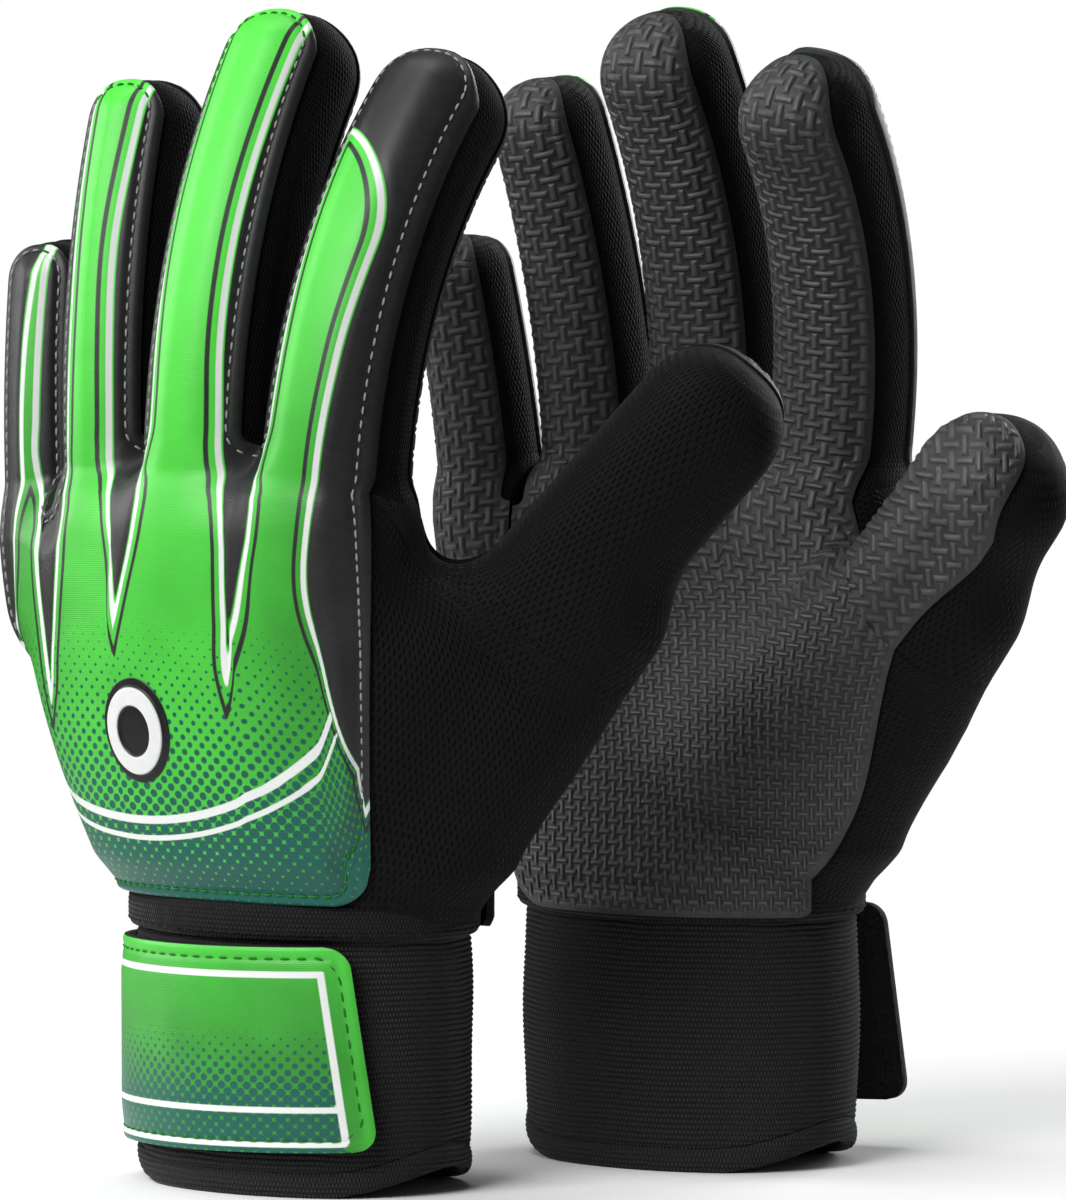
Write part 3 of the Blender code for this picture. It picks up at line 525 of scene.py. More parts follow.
class Sewing:
    """Gathers grids into one mesh of the shared frame."""

    def __init__(self, name: str, stand: Stand, turn: float = 0.0) -> None:
        """Start an empty piece, with the flat length of one turn where its flat places start again at a join."""
        self.name, self.stand, self.turn = name, stand, turn
        self.points: list[Array] = []
        self.flats: list[Array] = []
        self.values: list[dict[str, Array]] = []
        self.faces: list[Array] = []
        self.slots: list[Array] = []
        self.count = 0

    def grid(self, points: Array, outward: Array, flat: Array | None = None, slot: int = 0,
             values: dict[str, Array] | None = None, ring: bool = False, pole: bool = False) -> None:
        """Add a grid of points.

        Args:
            points: Rows and columns of points.
            outward: Way out of the surface at each point.
            flat: Flat coordinates of each point.
            slot: Number of the material.
            values: Named value of each point.
            ring: Whether the last column meets the first.
            pole: Whether the last row is one point.
        """
        rows, columns = points.shape[:2]
        number = np.arange(rows * columns).reshape(rows, columns) + self.count
        if pole:
            number[-1] = number[-1, 0]
        left = number if ring else number[:, :-1]
        right = np.roll(number, -1, axis=1) if ring else number[:, 1:]
        quads = np.stack([left[:-1], right[:-1], right[1:], left[1:]], axis=-1).reshape(-1, 4)
        corner = points.reshape(-1, 3)[quads - self.count]
        normal = np.cross(corner[:, 2] - corner[:, 0], corner[:, 3] - corner[:, 1])
        facing = np.sum(normal * outward.reshape(-1, 3)[quads[:, 0] - self.count])
        if (facing < 0) != (self.stand.hand is Hand.LEFT):
            quads = quads[:, ::-1]
        self.push(points, flat, quads, slot, values)

    def push(self, points: Array, flat: Array | None, quads: Array, slot: Array | int,
             values: dict[str, Array] | None) -> None:
        """Add points with faces that are already numbered."""
        total = int(np.prod(points.shape[:-1]))
        self.points.append(points.reshape(-1, 3))
        self.flats.append(np.zeros((total, 2)) if flat is None else flat.reshape(-1, 2))
        self.values.append({key: np.ravel(value) for key, value in (values or {}).items()})
        self.faces.append(quads)
        self.slots.append(np.broadcast_to(slot, len(quads)))
        self.count += total

    def stitches(self, points: Array, normals: Array, length: float, radius: float, slot: Array | int,
                 sink: float = 0.25) -> None:
        """Add a row of thread stitches, each a small capsule lying along the line.

        Args:
            points: Middle of every stitch.
            normals: Way out of the fabric at every stitch.
            length: Length of a stitch.
            radius: Radius of the thread.
            slot: Number of the material, of all stitches or of each.
            sink: Share of the radius that lies in the fabric.
        """
        if len(points) < 3:
            return
        ahead = unit(np.gradient(points, axis=0))
        side = unit(np.cross(normals, ahead))
        out = np.cross(ahead, side)
        along = np.array((-0.5, -0.42, -0.2, 0.2, 0.42, 0.5)) * length
        size = np.array((0.05, 0.65, 1.0, 1.0, 0.65, 0.05)) * radius
        lift = radius * (1 - sink) - np.array((1.0, 0.3, 0.0, 0.0, 0.3, 1.0)) * radius * 0.8
        angle = np.linspace(0.0, 2 * math.pi, 6, endpoint=False)
        ring = size[:, None, None] * (np.cos(angle)[None, :, None] * side[:, None, None, :]
                                      + np.sin(angle)[None, :, None] * out[:, None, None, :])
        grid = points[:, None, None, :] + along[:, None, None] * ahead[:, None, None, :] + ring
        grid = grid + lift[:, None, None] * out[:, None, None, :]
        count, rows, columns = grid.shape[:3]
        number = np.arange(count * rows * columns).reshape(count, rows, columns) + self.count
        after = np.roll(number, -1, axis=2)
        quads = np.stack([number[:, :-1], after[:, :-1], after[:, 1:], number[:, 1:]], axis=-1).reshape(-1, 4)
        if self.stand.hand is Hand.LEFT:
            quads = quads[:, ::-1]
        each = np.repeat(np.broadcast_to(slot, count), (rows - 1) * columns)
        self.push(grid, None, quads, each, None)

    def finish(self, materials: list[bpy.types.Material]) -> bpy.types.Object:
        """Make the mesh object: vertices, faces, flat coordinates as UV and values as attributes."""
        points = self.stand.world(np.concatenate(self.points))
        flats = np.concatenate(self.flats) * FLAT_UNIT
        faces = np.concatenate(self.faces)
        slots = np.concatenate(self.slots)
        used, index = np.unique(faces, return_inverse=True)
        faces = index.reshape(faces.shape)
        points, flats = points[used], flats[used]
        repeat = faces == np.roll(faces, -1, axis=1)
        three = repeat.any(axis=1)
        corners = faces[~three].tolist() + faces[three][~repeat[three]].reshape(-1, 3).tolist()
        slots = np.concatenate([slots[~three], slots[three]])
        mesh = bpy.data.meshes.new(self.name)
        mesh.from_pydata(points.tolist(), [], corners)
        mesh.polygons.foreach_set("use_smooth", np.ones(len(corners), bool))
        mesh.polygons.foreach_set("material_index", slots.astype(np.int32))
        order = np.empty(len(mesh.loops), np.int32)
        mesh.loops.foreach_get("vertex_index", order)
        layer = mesh.uv_layers.new(name="flat")
        places = self.unrolled(flats[order], int(np.sum(~three)))
        layer.data.foreach_set("uv", places.astype(np.float32).ravel())
        for key in sorted({key for part in self.values for key in part}):
            filled = [part.get(key, np.zeros(len(p))) for part, p in zip(self.values, self.points)]
            attribute = mesh.attributes.new(key, "FLOAT", "POINT")
            attribute.data.foreach_set("value", np.concatenate(filled)[used].astype(np.float32))
        for material in materials:
            mesh.materials.append(material)
        mesh.update()
        piece = bpy.data.objects.new(self.name, mesh)
        bpy.context.scene.collection.objects.link(piece)
        LOG.info("%s: %d faces", self.name, len(corners))
        return piece

    def unrolled(self, flats: Array, fours: int) -> Array:
        """Flat places of the faces' corners, with those past a ring's join carried on by one turn.

        Args:
            flats: Flat place of every corner, four-sided faces first, then three-sided ones.
            fours: Number of four-sided faces.

        Returns:
            Flat places that lie together in every face.
        """
        if not self.turn:
            return flats
        number = np.arange(len(flats))
        first = np.where(number < 4 * fours, number - number % 4, number - (number - 4 * fours) % 3)
        length = self.turn * FLAT_UNIT
        turns = np.rint((flats[:, 0] - flats[first, 0]) / length)
        return flats - np.stack([turns * length, 0.0 * turns], axis=-1)


class Graph:
    """Node tree of one material, with short ways to add and join nodes."""

    def __init__(self, name: str) -> None:
        """Start a material with its Principled shader."""
        self.material = bpy.data.materials.new(name)
        self.material.use_nodes = True
        self.tree = self.material.node_tree
        self.shader = self.tree.nodes["Principled BSDF"]
        self.flat = self.node("ShaderNodeUVMap").outputs[0]
        self.flat.node.uv_map = "flat"

    def plug(self, socket: bpy.types.NodeSocket, value: object) -> None:
        """Join a socket to another node's output, or set its own value."""
        if isinstance(value, bpy.types.NodeSocket):
            self.tree.links.new(value, socket)
        else:
            socket.default_value = value

    def node(self, kind: str, inputs: dict[object, object] | None = None, **options: object) -> bpy.types.Node:
        """Add a node with its options and inputs."""
        node = self.tree.nodes.new(kind)
        for key, value in options.items():
            setattr(node, key, value)
        for key, value in (inputs or {}).items():
            self.plug(node.inputs[key], value)
        return node

    def set(self, **values: object) -> None:
        """Set the shader's sockets, named with underscores for spaces."""
        for key, value in values.items():
            self.plug(self.shader.inputs[key.replace("_", " ")], value)

    def math(self, operation: str, first: object, second: object = 0.0, third: object = 0.0,
             clamp: bool = False) -> bpy.types.NodeSocket:
        """Result of a Math node."""
        inputs = {0: first, 1: second, 2: third}
        return self.node("ShaderNodeMath", inputs, operation=operation, use_clamp=clamp).outputs[0]

    def value(self, name: str) -> bpy.types.NodeSocket:
        """Value of a point attribute."""
        return self.node("ShaderNodeAttribute", attribute_name=name).outputs["Fac"]

    def inside(self, distance: object, soft: float) -> bpy.types.NodeSocket:
        """1 where a distance is below zero, 0 above, with an edge of the given softness."""
        return self.math("MULTIPLY_ADD", distance, -1.0 / soft, 0.5, clamp=True)

    def mix(self, share: object, first: object, second: object) -> bpy.types.NodeSocket:
        """Mix of two colours."""
        node = self.node("ShaderNodeMix", data_type="RGBA")
        self.plug(node.inputs[0], share)
        self.plug(node.inputs[6], first)
        self.plug(node.inputs[7], second)
        return node.outputs[2]

    def noise(self, scale: float, detail: float = 3.0) -> bpy.types.NodeSocket:
        """Noise over the flat coordinates."""
        return self.node("ShaderNodeTexNoise", {"Vector": self.flat, "Scale": scale, "Detail": detail}).outputs[0]

    def cell(self, pitch: tuple[float, float], turn: float = 0.0, stagger: float = 0.0) -> tuple[object, object]:
        """Offsets in millimetres from the middle of the cell of a repeated pattern.

        Args:
            pitch: Size of a cell across and along.
            turn: Turn of the pattern in radians.
            stagger: Share of a cell by which every other row moves across.

        Returns:
            Offset across and offset along.
        """
        size = (1 / (FLAT_UNIT * pitch[0]), 1 / (FLAT_UNIT * pitch[1]), 1.0)
        turned = self.node("ShaderNodeMapping", {"Vector": self.flat, "Rotation": (0.0, 0.0, turn)}).outputs[0]
        spot = self.node("ShaderNodeMapping", {"Vector": turned, "Scale": size}).outputs[0]
        parts = self.node("ShaderNodeSeparateXYZ", {0: spot})
        across, along = parts.outputs[0], parts.outputs[1]
        row = self.math("FLOOR", along)
        if stagger:
            odd = self.math("FLOORED_MODULO", row, 2.0)
            across = self.math("MULTIPLY_ADD", odd, stagger, across)
        across = self.math("SUBTRACT", self.math("FRACT", across), 0.5)
        along = self.math("SUBTRACT", self.math("FRACT", along), 0.5)
        return self.math("MULTIPLY", across, pitch[0]), self.math("MULTIPLY", along, pitch[1])

    def basket(self, weave: Weave, soft: float) -> bpy.types.NodeSocket:
        """Bars of a weave as a node value of 0 to 1, by the same formula as its height."""
        size = 1 / (FLAT_UNIT * weave.cell)
        spot = self.node("ShaderNodeMapping", {"Vector": self.flat, "Scale": (size, size, 1.0)}).outputs[0]
        parts = self.node("ShaderNodeSeparateXYZ", {0: spot}).outputs
        home = self.math("ADD", self.math("FLOOR", parts[0]), self.math("FLOOR", parts[1]))
        turned = self.math("FLOORED_MODULO", home, 2.0)
        wide, high = (self.math("ABSOLUTE", self.math("SUBTRACT", self.math("FRACT", part), 0.5))
                      for part in parts[:2])
        swap = self.math("MULTIPLY", turned, self.math("SUBTRACT", wide, high))
        across, along = self.math("ADD", high, swap), self.math("SUBTRACT", wide, swap)
        short, end = weave.short_half / weave.cell, 1 - weave.long_half / weave.cell
        ends = self.math("MAXIMUM", self.math("SUBTRACT", along, short), self.math("SUBTRACT", end, across))
        best = self.math("MINIMUM", self.math("SUBTRACT", across, short), ends)
        return self.inside(best, soft / weave.cell)

    def bump(self, height: object, depth: float, strength: float = 1.0) -> None:
        """Bump the shader's normal by a height of 0 to 1, with a depth in millimetres."""
        node = self.node("ShaderNodeBump", {"Strength": strength, "Distance": depth * METRE, "Height": height})
        self.plug(self.shader.inputs["Normal"], node.outputs[0])


Colour = tuple[float, float, float, float]


@dataclass(frozen=True)
class PrintedFabric:
    """Satin cloth with a printed pattern, read from distance values of the points, its green painted with light
    and shade.
    """

    name: str
    # The two greens are a lit and a shaded copy of one green, mixed by a value from the points: painted light and
    # shade.
    lit_green: Colour = (0.088, 0.76, 0.060, 1.0)
    shaded_green: Colour = (0.024, 0.25, 0.018, 1.0)
    teal: Colour = (0.001, 0.096, 0.074, 1.0)
    black: Colour = (0.0080, 0.0080, 0.0086, 1.0)
    # A lighter grey that noise mixes patchily into the black print: a painted sheen.
    sheen_grey: Colour = (0.022, 0.022, 0.023, 1.0)
    white: Colour = (0.80, 0.82, 0.80, 1.0)
    dot_pitch: float = 2.1
    thread_pitch: float = 0.42
    pin_line: tuple[float, float] = (2.75, 0.42)
    edge_line: tuple[float, float] = (0.80, 0.50)

    def make(self) -> bpy.types.Material:
        """Green base painted with light and shade, then halftone dots, then black with a painted sheen and a pin
        line beside it, then white, over a fine weave painted a little darker where it is low.
        """
        g = Graph(self.name)
        # The mixing value comes from the points as painted light and shade, plus a noise cloud of random tone.
        cloud = g.noise(7.0, 2.0)
        tone = g.math("MULTIPLY_ADD", g.math("SUBTRACT", cloud, 0.5), 0.35, g.value("tone"), clamp=True)
        colour = g.mix(tone, self.shaded_green, self.lit_green)
        across, along = g.cell((self.dot_pitch, self.dot_pitch), turn=math.pi / 4)
        reach = g.math("SQRT", g.math("ADD", g.math("POWER", across, 2.0), g.math("POWER", along, 2.0)))
        colour = g.mix(g.inside(g.math("SUBTRACT", reach, g.value("dots")), 0.22), colour, self.teal)
        # The black print is mixed by noise towards the lighter grey: painted sheen.
        black = g.mix(g.noise(60.0), self.black, self.sheen_grey)
        dark = g.value("black")
        pin, edging = (g.math("SUBTRACT", g.math("ABSOLUTE", g.math("SUBTRACT", dark, middle)), half)
                       for middle, half in (self.pin_line, self.edge_line))
        colour = g.mix(g.inside(g.math("MINIMUM", dark, pin), 0.2), colour, black)
        colour = g.mix(g.inside(g.math("MINIMUM", edging, g.value("white")), 0.2), colour, self.white)
        weft, warp = g.cell((self.thread_pitch, self.thread_pitch), stagger=0.5)
        weave = g.math("ADD", g.math("ABSOLUTE", weft), g.math("ABSOLUTE", warp))
        grain = g.math("MULTIPLY_ADD", weave, 1.0, g.math("MULTIPLY", g.noise(30.0, 4.0), 1.1))
        g.bump(grain, 0.15, 0.5)
        # Painted shade: the colour is a little darker where the weave is low.
        shade = g.math("MULTIPLY_ADD", weave, 0.22, 0.90)
        shaded = g.node("ShaderNodeMix", {0: 1.0, 6: colour, 7: shade}, data_type="RGBA", blend_type="MULTIPLY")
        rough = g.math("MULTIPLY_ADD", g.noise(16.0, 3.0), 0.12, 0.36)
        g.set(Base_Color=shaded.outputs[2], Roughness=rough, Specular_IOR_Level=0.44)
        return g.material


@dataclass(frozen=True)
class Latex:
    """Dark foam latex with an embossed weave, painted a little lighter on its raised bars as a painted highlight.
    """

    name: str = "latex"
    # The lighter grey is a painted highlight on the raised bars, the darker a painted shade between them; a noise
    # cloud mixes them at random as well.
    low: Colour = (0.0085, 0.0085, 0.009, 1.0)
    high: Colour = (0.080, 0.080, 0.081, 1.0)

    def make(self) -> bpy.types.Material:
        """Mix of two greys by the weave's bars, which are also bumped, with open pores: the raised bars get the
        lighter grey as a painted highlight, the gaps the darker one as painted shade.
        """
        g = Graph(self.name)
        bars = g.math("MULTIPLY", g.basket(Weave(), 0.5), g.value("emboss"))
        cloud = g.math("SUBTRACT", g.noise(20.0, 4.0), 0.35)
        # Painted highlight on the raised bars and painted shade between them, with random cloud.
        share = g.math("MULTIPLY_ADD", cloud, 0.5, g.math("MULTIPLY_ADD", bars, 0.55, 0.12), clamp=True)
        g.bump(g.math("MULTIPLY_ADD", g.noise(420.0, 3.0), 0.22, bars), 0.42, 0.8)
        rough = g.math("MULTIPLY_ADD", bars, -0.12, 0.56)
        g.set(Base_Color=g.mix(share, self.low, self.high), Roughness=rough, Specular_IOR_Level=0.42)
        return g.material


@dataclass(frozen=True)
class MeshKnit:
    """Black mesh with staggered rows of short slits."""

    name: str = "mesh_knit"
    yarn: Colour = (0.0080, 0.0080, 0.0084, 1.0)
    lint: Colour = (0.0030, 0.0030, 0.0032, 1.0)
    # Near black in the slits: painted shade where the mesh opens onto the dark inside.
    slit_shade: Colour = (0.0004, 0.0004, 0.0005, 1.0)
    pitch: tuple[float, float] = (1.35, 1.7)
    slit_half: tuple[float, float] = (0.13, 0.50)

    def make(self) -> bpy.types.Material:
        """Slits as boxes in a staggered cell pattern, sunk between round yarns and painted near black as painted
        shade.
        """
        g = Graph(self.name)
        across, along = g.cell(self.pitch, stagger=0.5)
        wide = g.math("SUBTRACT", g.math("ABSOLUTE", across), self.slit_half[0])
        high = g.math("SUBTRACT", g.math("ABSOLUTE", along), self.slit_half[1])
        hole = g.inside(g.math("MAXIMUM", wide, high), 0.30)
        fuzz = g.noise(260.0, 4.0)
        yarn = g.mix(fuzz, self.yarn, self.lint)
        g.bump(g.math("MULTIPLY_ADD", hole, -1.0, g.math("MULTIPLY", fuzz, 0.35)), 0.42, 0.9)
        rough = g.math("MULTIPLY_ADD", fuzz, 0.15, 0.62)
        # The slits are painted near black: painted shade in the openings.
        g.set(Base_Color=g.mix(hole, yarn, self.slit_shade), Roughness=rough, Specular_IOR_Level=0.08,
              Sheen_Weight=0.07, Sheen_Roughness=0.22)
        return g.material


@dataclass(frozen=True)
class RibKnit:
    """Fine ribbed knit of the finger walls, the elastic and the binding."""

    name: str
    yarn: Colour = (0.0062, 0.0062, 0.0068, 1.0)
    # The darker colour is painted shade in the gaps between the loops.
    dark: Colour = (0.0018, 0.0018, 0.002, 1.0)
    pitch: tuple[float, float] = (0.9, 1.1)

    def make(self) -> bpy.types.Material:
        """Small staggered loops, painted darker between them as painted shade."""
        g = Graph(self.name)
        across, along = g.cell(self.pitch, stagger=0.5)
        gap = g.math("MAXIMUM", g.math("MULTIPLY", g.math("ABSOLUTE", across), 2.2),
                     g.math("MULTIPLY", g.math("ABSOLUTE", along), 1.3))
        fuzz = g.noise(180.0, 4.0)
        # Painted shade: darker in the gaps between the loops, with random fuzz.
        shade = g.math("MULTIPLY_ADD", gap, 0.85, g.math("MULTIPLY_ADD", fuzz, 0.5, -0.22), clamp=True)
        g.bump(g.math("SUBTRACT", g.math("MULTIPLY", fuzz, 0.4), gap), 0.3, 0.8)
        rough = g.math("MULTIPLY_ADD", fuzz, 0.12, 0.70)
        g.set(Base_Color=g.mix(shade, self.yarn, self.dark), Roughness=rough, Specular_IOR_Level=0.08,
              Sheen_Weight=0.12, Sheen_Roughness=0.20)
        return g.material


@dataclass(frozen=True)
class Fibre:
    """Plain fibrous finish for thread, hook tape, fleece, lining and cut edges."""

    name: str
    light: Colour
    dark: Colour
    scale: float
    depth: float = 0.15
    roughness: float = 0.75
    specular: float = 0.14

    def make(self) -> bpy.types.Material:
        """Two tones mixed by a noise that also bumps the surface."""
        g = Graph(self.name)
        fuzz = g.noise(self.scale, 4.0)
        g.bump(fuzz, self.depth, 0.8)
        rough = g.math("MULTIPLY_ADD", fuzz, 0.1, self.roughness)
        g.set(Base_Color=g.mix(fuzz, self.dark, self.light), Roughness=rough, Specular_IOR_Level=self.specular)
        return g.material


@dataclass(frozen=True)
class Rubber:
    """Moulded rubber in black with white raised parts, read from a distance value of the points."""

    name: str = "badge_rubber"
    black: Colour = (0.004, 0.004, 0.0045, 1.0)
    grey: Colour = (0.009, 0.009, 0.010, 1.0)
    white: Colour = (0.78, 0.79, 0.78, 1.0)
    soiled: Colour = (0.66, 0.67, 0.66, 1.0)

    def make(self) -> bpy.types.Material:
        """Both colours with faint clouds, glossier than cloth."""
        g = Graph(self.name)
        cloud = g.noise(40.0, 4.0)
        dark, pale = g.mix(cloud, self.black, self.grey), g.mix(cloud, self.white, self.soiled)
        g.bump(g.noise(260.0, 3.0), 0.05, 0.4)
        rough = g.math("MULTIPLY_ADD", cloud, 0.15, 0.30)
        colour = g.mix(g.inside(g.value("white"), 0.15), dark, pale)
        g.set(Base_Color=colour, Roughness=rough, Specular_IOR_Level=0.4)
        return g.material


class Finishes:
    """All materials of the pair, made once."""

    def __init__(self) -> None:
        """Make every material."""
        self.back = PrintedFabric("printed_back").make()
        self.strap = PrintedFabric("printed_strap", dot_pitch=1.9).make()
        self.latex = Latex().make()
        self.mesh = MeshKnit().make()
        self.gusset = RibKnit("fine_knit").make()
        self.rubber = Rubber().make()
        # Near black for the gaps between the loops of the elastic and the tape: painted shade.
        gap_shade = (0.0020, 0.0020, 0.0023, 1.0)
        self.elastic = RibKnit("elastic", (0.036, 0.036, 0.038, 1.0), gap_shade, (Cuff.loop, Cuff.rib)).make()
        self.tape = RibKnit("binding_tape", (0.022, 0.022, 0.023, 1.0), gap_shade, (Cuff.loop, Cuff.fine_rib)).make()
        self.thread = Fibre("grey_thread", (0.36, 0.37, 0.36, 1.0), (0.17, 0.18, 0.17, 1.0), 400.0,
                            roughness=0.6).make()
        self.dark_thread = Fibre("green_thread", (0.026, 0.23, 0.021, 1.0), (0.010, 0.10, 0.009, 1.0),
                                 400.0).make()
        self.black_thread = Fibre("black_thread", (0.014, 0.014, 0.015, 1.0), (0.006, 0.006, 0.006, 1.0),
                                  400.0).make()
        self.raw = Fibre("cut_edge", (0.060, 0.075, 0.058, 1.0), (0.012, 0.018, 0.012, 1.0), 90.0,
                         depth=0.2).make()
        self.foam = Fibre("latex_edge", (0.012, 0.012, 0.013, 1.0), (0.004, 0.004, 0.0045, 1.0), 90.0).make()
        self.fleece = Fibre("loop_fleece", (0.040, 0.040, 0.042, 1.0), (0.0030, 0.0030, 0.0033, 1.0), 110.0,
                            depth=0.7, roughness=0.85).make()
        self.hooks = Fibre("hook_tape", (0.036, 0.036, 0.038, 1.0), (0.003, 0.003, 0.0033, 1.0), 160.0,
                           depth=0.5).make()
        self.lining = Fibre("lining", (0.050, 0.050, 0.053, 1.0), (0.022, 0.022, 0.024, 1.0), 170.0).make()


@dataclass(frozen=True)
class Stripe:
    """Tapered stripe up a panel: its middle and its half width at some heights, below zero past its point."""

    heights: tuple[float, ...]
    middle: tuple[float, ...]
    half: tuple[float, ...]
    fall: float = 0.45

    def distance(self, flat: Array) -> Array:
        """Signed distance across the stripe, corrected for its lean."""
        knots = np.array(self.heights)
        up = np.clip(flat[..., 1], knots[0], knots[-1]).ravel()
        middle = hermite(up, knots, np.array(self.middle))
        lean = (hermite(np.minimum(up + 0.5, knots[-1]), knots, np.array(self.middle)) - middle) / 0.5
        past = self.fall * np.maximum(knots[0] - flat[..., 1].ravel(), 0.0)
        across = np.abs(flat[..., 0].ravel() - middle) - hermite(up, knots, np.array(self.half)) + past
        return (across / np.sqrt(1 + lean**2)).reshape(flat.shape[:-1])


class BackPrint:
    """Pattern on the back of a glove, in flat millimetres: across from the hand's middle, up from the floor.

    Dark wedges grow out of points on the hand, surround the slots and run up the fingers' sides.
    White lines follow them. Halftone dots grow to the wrist, crossed by two low arcs.
    """

    slots = (
        Stripe((98.0, 106.4, 116.6, 126.8, 137.0, 140.0, 143.0, 146.0, 149.0, 153.0, 158.0, 166.0, 187.0, 215.0,
                250.0),
               (8.0, 8.9, 10.8, 11.1, 10.3, 9.5, 8.3, 7.7, 7.6, 8.1, 8.2, 8.0, 7.4, 7.6, 8.0),
               (-2.8, -0.5, 0.8, 1.9, 3.3, 3.7, 4.1, 4.5, 4.8, 5.4, 5.7, 6.0, 5.9, 5.5, 5.0)),
        Stripe((109.0, 116.9, 123.4, 130.0, 136.5, 139.5, 142.5, 145.5, 148.5, 152.5, 157.5, 165.5, 187.0, 210.0,
                245.0),
               (-18.8, -18.4, -17.9, -17.8, -18.3, -19.2, -20.5, -21.6, -21.4, -20.6, -20.4, -20.6, -21.4, -20.8,
                -20.4),
               (-2.8, -0.5, 0.8, 2.2, 3.8, 4.7, 5.3, 5.2, 5.5, 6.3, 6.5, 6.4, 5.9, 5.3, 4.6)),
        Stripe((93.0, 101.2, 108.7, 116.1, 123.5, 129.5, 132.5, 135.5, 139.5, 144.5, 152.5, 171.7, 195.0, 225.0),
               (-40.6, -40.2, -39.8, -39.9, -40.2, -40.6, -41.0, -42.0, -44.0, -45.0, -44.7, -44.2, -44.0, -44.0),
               (-2.8, -0.5, 0.6, 1.7, 2.6, 3.2, 3.7, 4.7, 6.0, 6.1, 6.3, 6.4, 5.8, 5.2)),
    )
    thumb_side = Stripe((84.0, 98.0, 118.0, 140.0, 168.0, 196.0, 225.0), (60.0,) * 7,
                        (18.0, 25.0, 30.6, 32.0, 31.0, 29.6, 33.0), 0.0)
    outer_side = Stripe((80.0, 98.0, 112.0, 122.0, 130.0, 140.0, 165.0, 195.0), (-95.0,) * 8,
                        (24.0, 33.0, 38.0, 40.2, 40.6, 39.9, 40.2, 43.0), 0.0)
    cap = (206.0, -0.42, 22.5, 10.0)
    cap_steep = 0.92
    cap_fillet = 14.0
    arcs = ((64.0, 0.85), (67.8, 0.55))
    arc_centre = (-16.0, 140.0)
    arc_top = 100.0
    arc_gap = 1.6
    dot_most = 1.34
    dot_top = 122.0
    dot_run = 62.0

    def dark(self, flat: Array) -> Array:
        """Signed distance of the dark parts, with the index finger's end joined to its side."""
        x, y = flat[..., 0], flat[..., 1]
        height, lean, centre, low = self.cap
        end = np.maximum((height + lean * (x - centre) - y) * self.cap_steep, low - x)
        index = smooth_union(self.thumb_side.distance(flat), end, self.cap_fillet)
        parts = [stripe.distance(flat) for stripe in self.slots] + [index, self.outer_side.distance(flat)]
        return np.min(parts, axis=0)

    def values(self, flat: Array) -> dict[str, Array]:
        """Distances of the dark parts and the white arcs, dot size and painted shade at flat places."""
        x, y = flat[..., 0], flat[..., 1]
        dark = self.dark(flat)
        reach = np.hypot(x - self.arc_centre[0], y - self.arc_centre[1])
        low = [np.abs(reach - radius) - half for radius, half in self.arcs]
        arcs = np.max([np.min(low, axis=0), y - self.arc_top, self.arc_gap - dark], axis=0)
        dots = self.dot_most * np.clip((self.dot_top - y) / self.dot_run, 0.0, 1.0) ** 0.85
        dots = np.where(reach > self.arcs[0][0], dots + 0.12, dots)
        # Painted shade: the green is darker towards the wrist and towards both sides of the hand, lighter up the
        # fingers.
        sides = smooth(np.abs(x + 12.0), 12.0, 44.0) * (1 - 0.55 * smooth(y, 146.0, 190.0))
        tone = 0.92 - 0.36 * (1 - smooth(y, 112.0, 190.0)) - 0.46 * sides
        return {"black": dark, "white": arcs, "dots": dots - 0.1, "tone": tone}


class StrapPrint:
    """Pattern on a strap, in flat millimetres: along from the sewn end, up from the lower edge."""

    frame = (5.4, 0.65)
    band = (8.6, 0.6)
    foot = (1.6, 0.5)
    end_steep = 0.97
    dot_most = 1.15
    band_dot = 1.12
    dot_top = 27.0
    dot_run = 17.0

    def values(self, flat: Array, length: float, width: float, slant: float) -> dict[str, Array]:
        """Distances of a white frame line and of a lower band, dot size and painted light at flat places."""
        x, y = flat[..., 0], flat[..., 1]
        end = (length - slant * y / width - x) * self.end_steep
        rim = np.minimum(width - y, end)
        inset = self.frame[0]
        frame = np.maximum(np.abs(rim - inset) - self.frame[1], self.foot[0] - y)
        bands = [np.maximum(np.abs(y - height) - half, inset - end) for height, half in (self.band, self.foot)]
        dots = self.dot_most * np.clip((self.dot_top - y) / self.dot_run, 0.0, 1.0) ** 0.9
        dots = np.where(y < self.band[0], self.band_dot, dots) * (rim > inset)
        # Painted light: the green is lighter towards the strap's top and along its top edge and its free end.
        tone = 0.03 + 0.28 * smooth(y, 16.0, width) + 0.30 * (1 - smooth(rim, 0.0, 5.0))
        return {"black": np.full_like(x, 9.0), "white": np.min([frame, *bands], axis=0), "dots": dots - 0.1,
                "tone": tone}


class Weave:
    """Embossed basket of short bars, every other cell turned."""

    cell = 2.9
    long_half = 1.80
    short_half = 0.50

    def height(self, places: Array) -> Array:
        """Height from 0 to 1: a cell's own bar, or the ends of its neighbours' bars, with rounded edges."""
        spot = places / self.cell
        home = np.floor(spot)
        offset = np.abs(spot - home - 0.5)
        turned = np.mod(home.sum(axis=-1), 2) == 1
        across = np.where(turned, offset[..., 0], offset[..., 1]) * self.cell
        along = np.where(turned, offset[..., 1], offset[..., 0]) * self.cell
        ends = np.maximum(along - self.short_half, self.cell - self.long_half - across)
        return 1 - smooth(np.minimum(across - self.short_half, ends), -0.30, 0.30)


@dataclass(frozen=True)
class FaceSpec:
    """How the back or the palm is cut: covers, slots between the fingers, seams and padding."""

    face: Face
    cover: float
    thumb_side_cover: float
    slots: tuple[float, float, float]
    cut_low: float
    cut_high: float
    seams: tuple[float, float]
    corner: float
    flange: float
    stitch: float
    puff: float
    groove: float
    columns: int
    rows: int
    hand_rows: int
    drop: float
    tips: tuple[float, float, float, float]
    bow: float


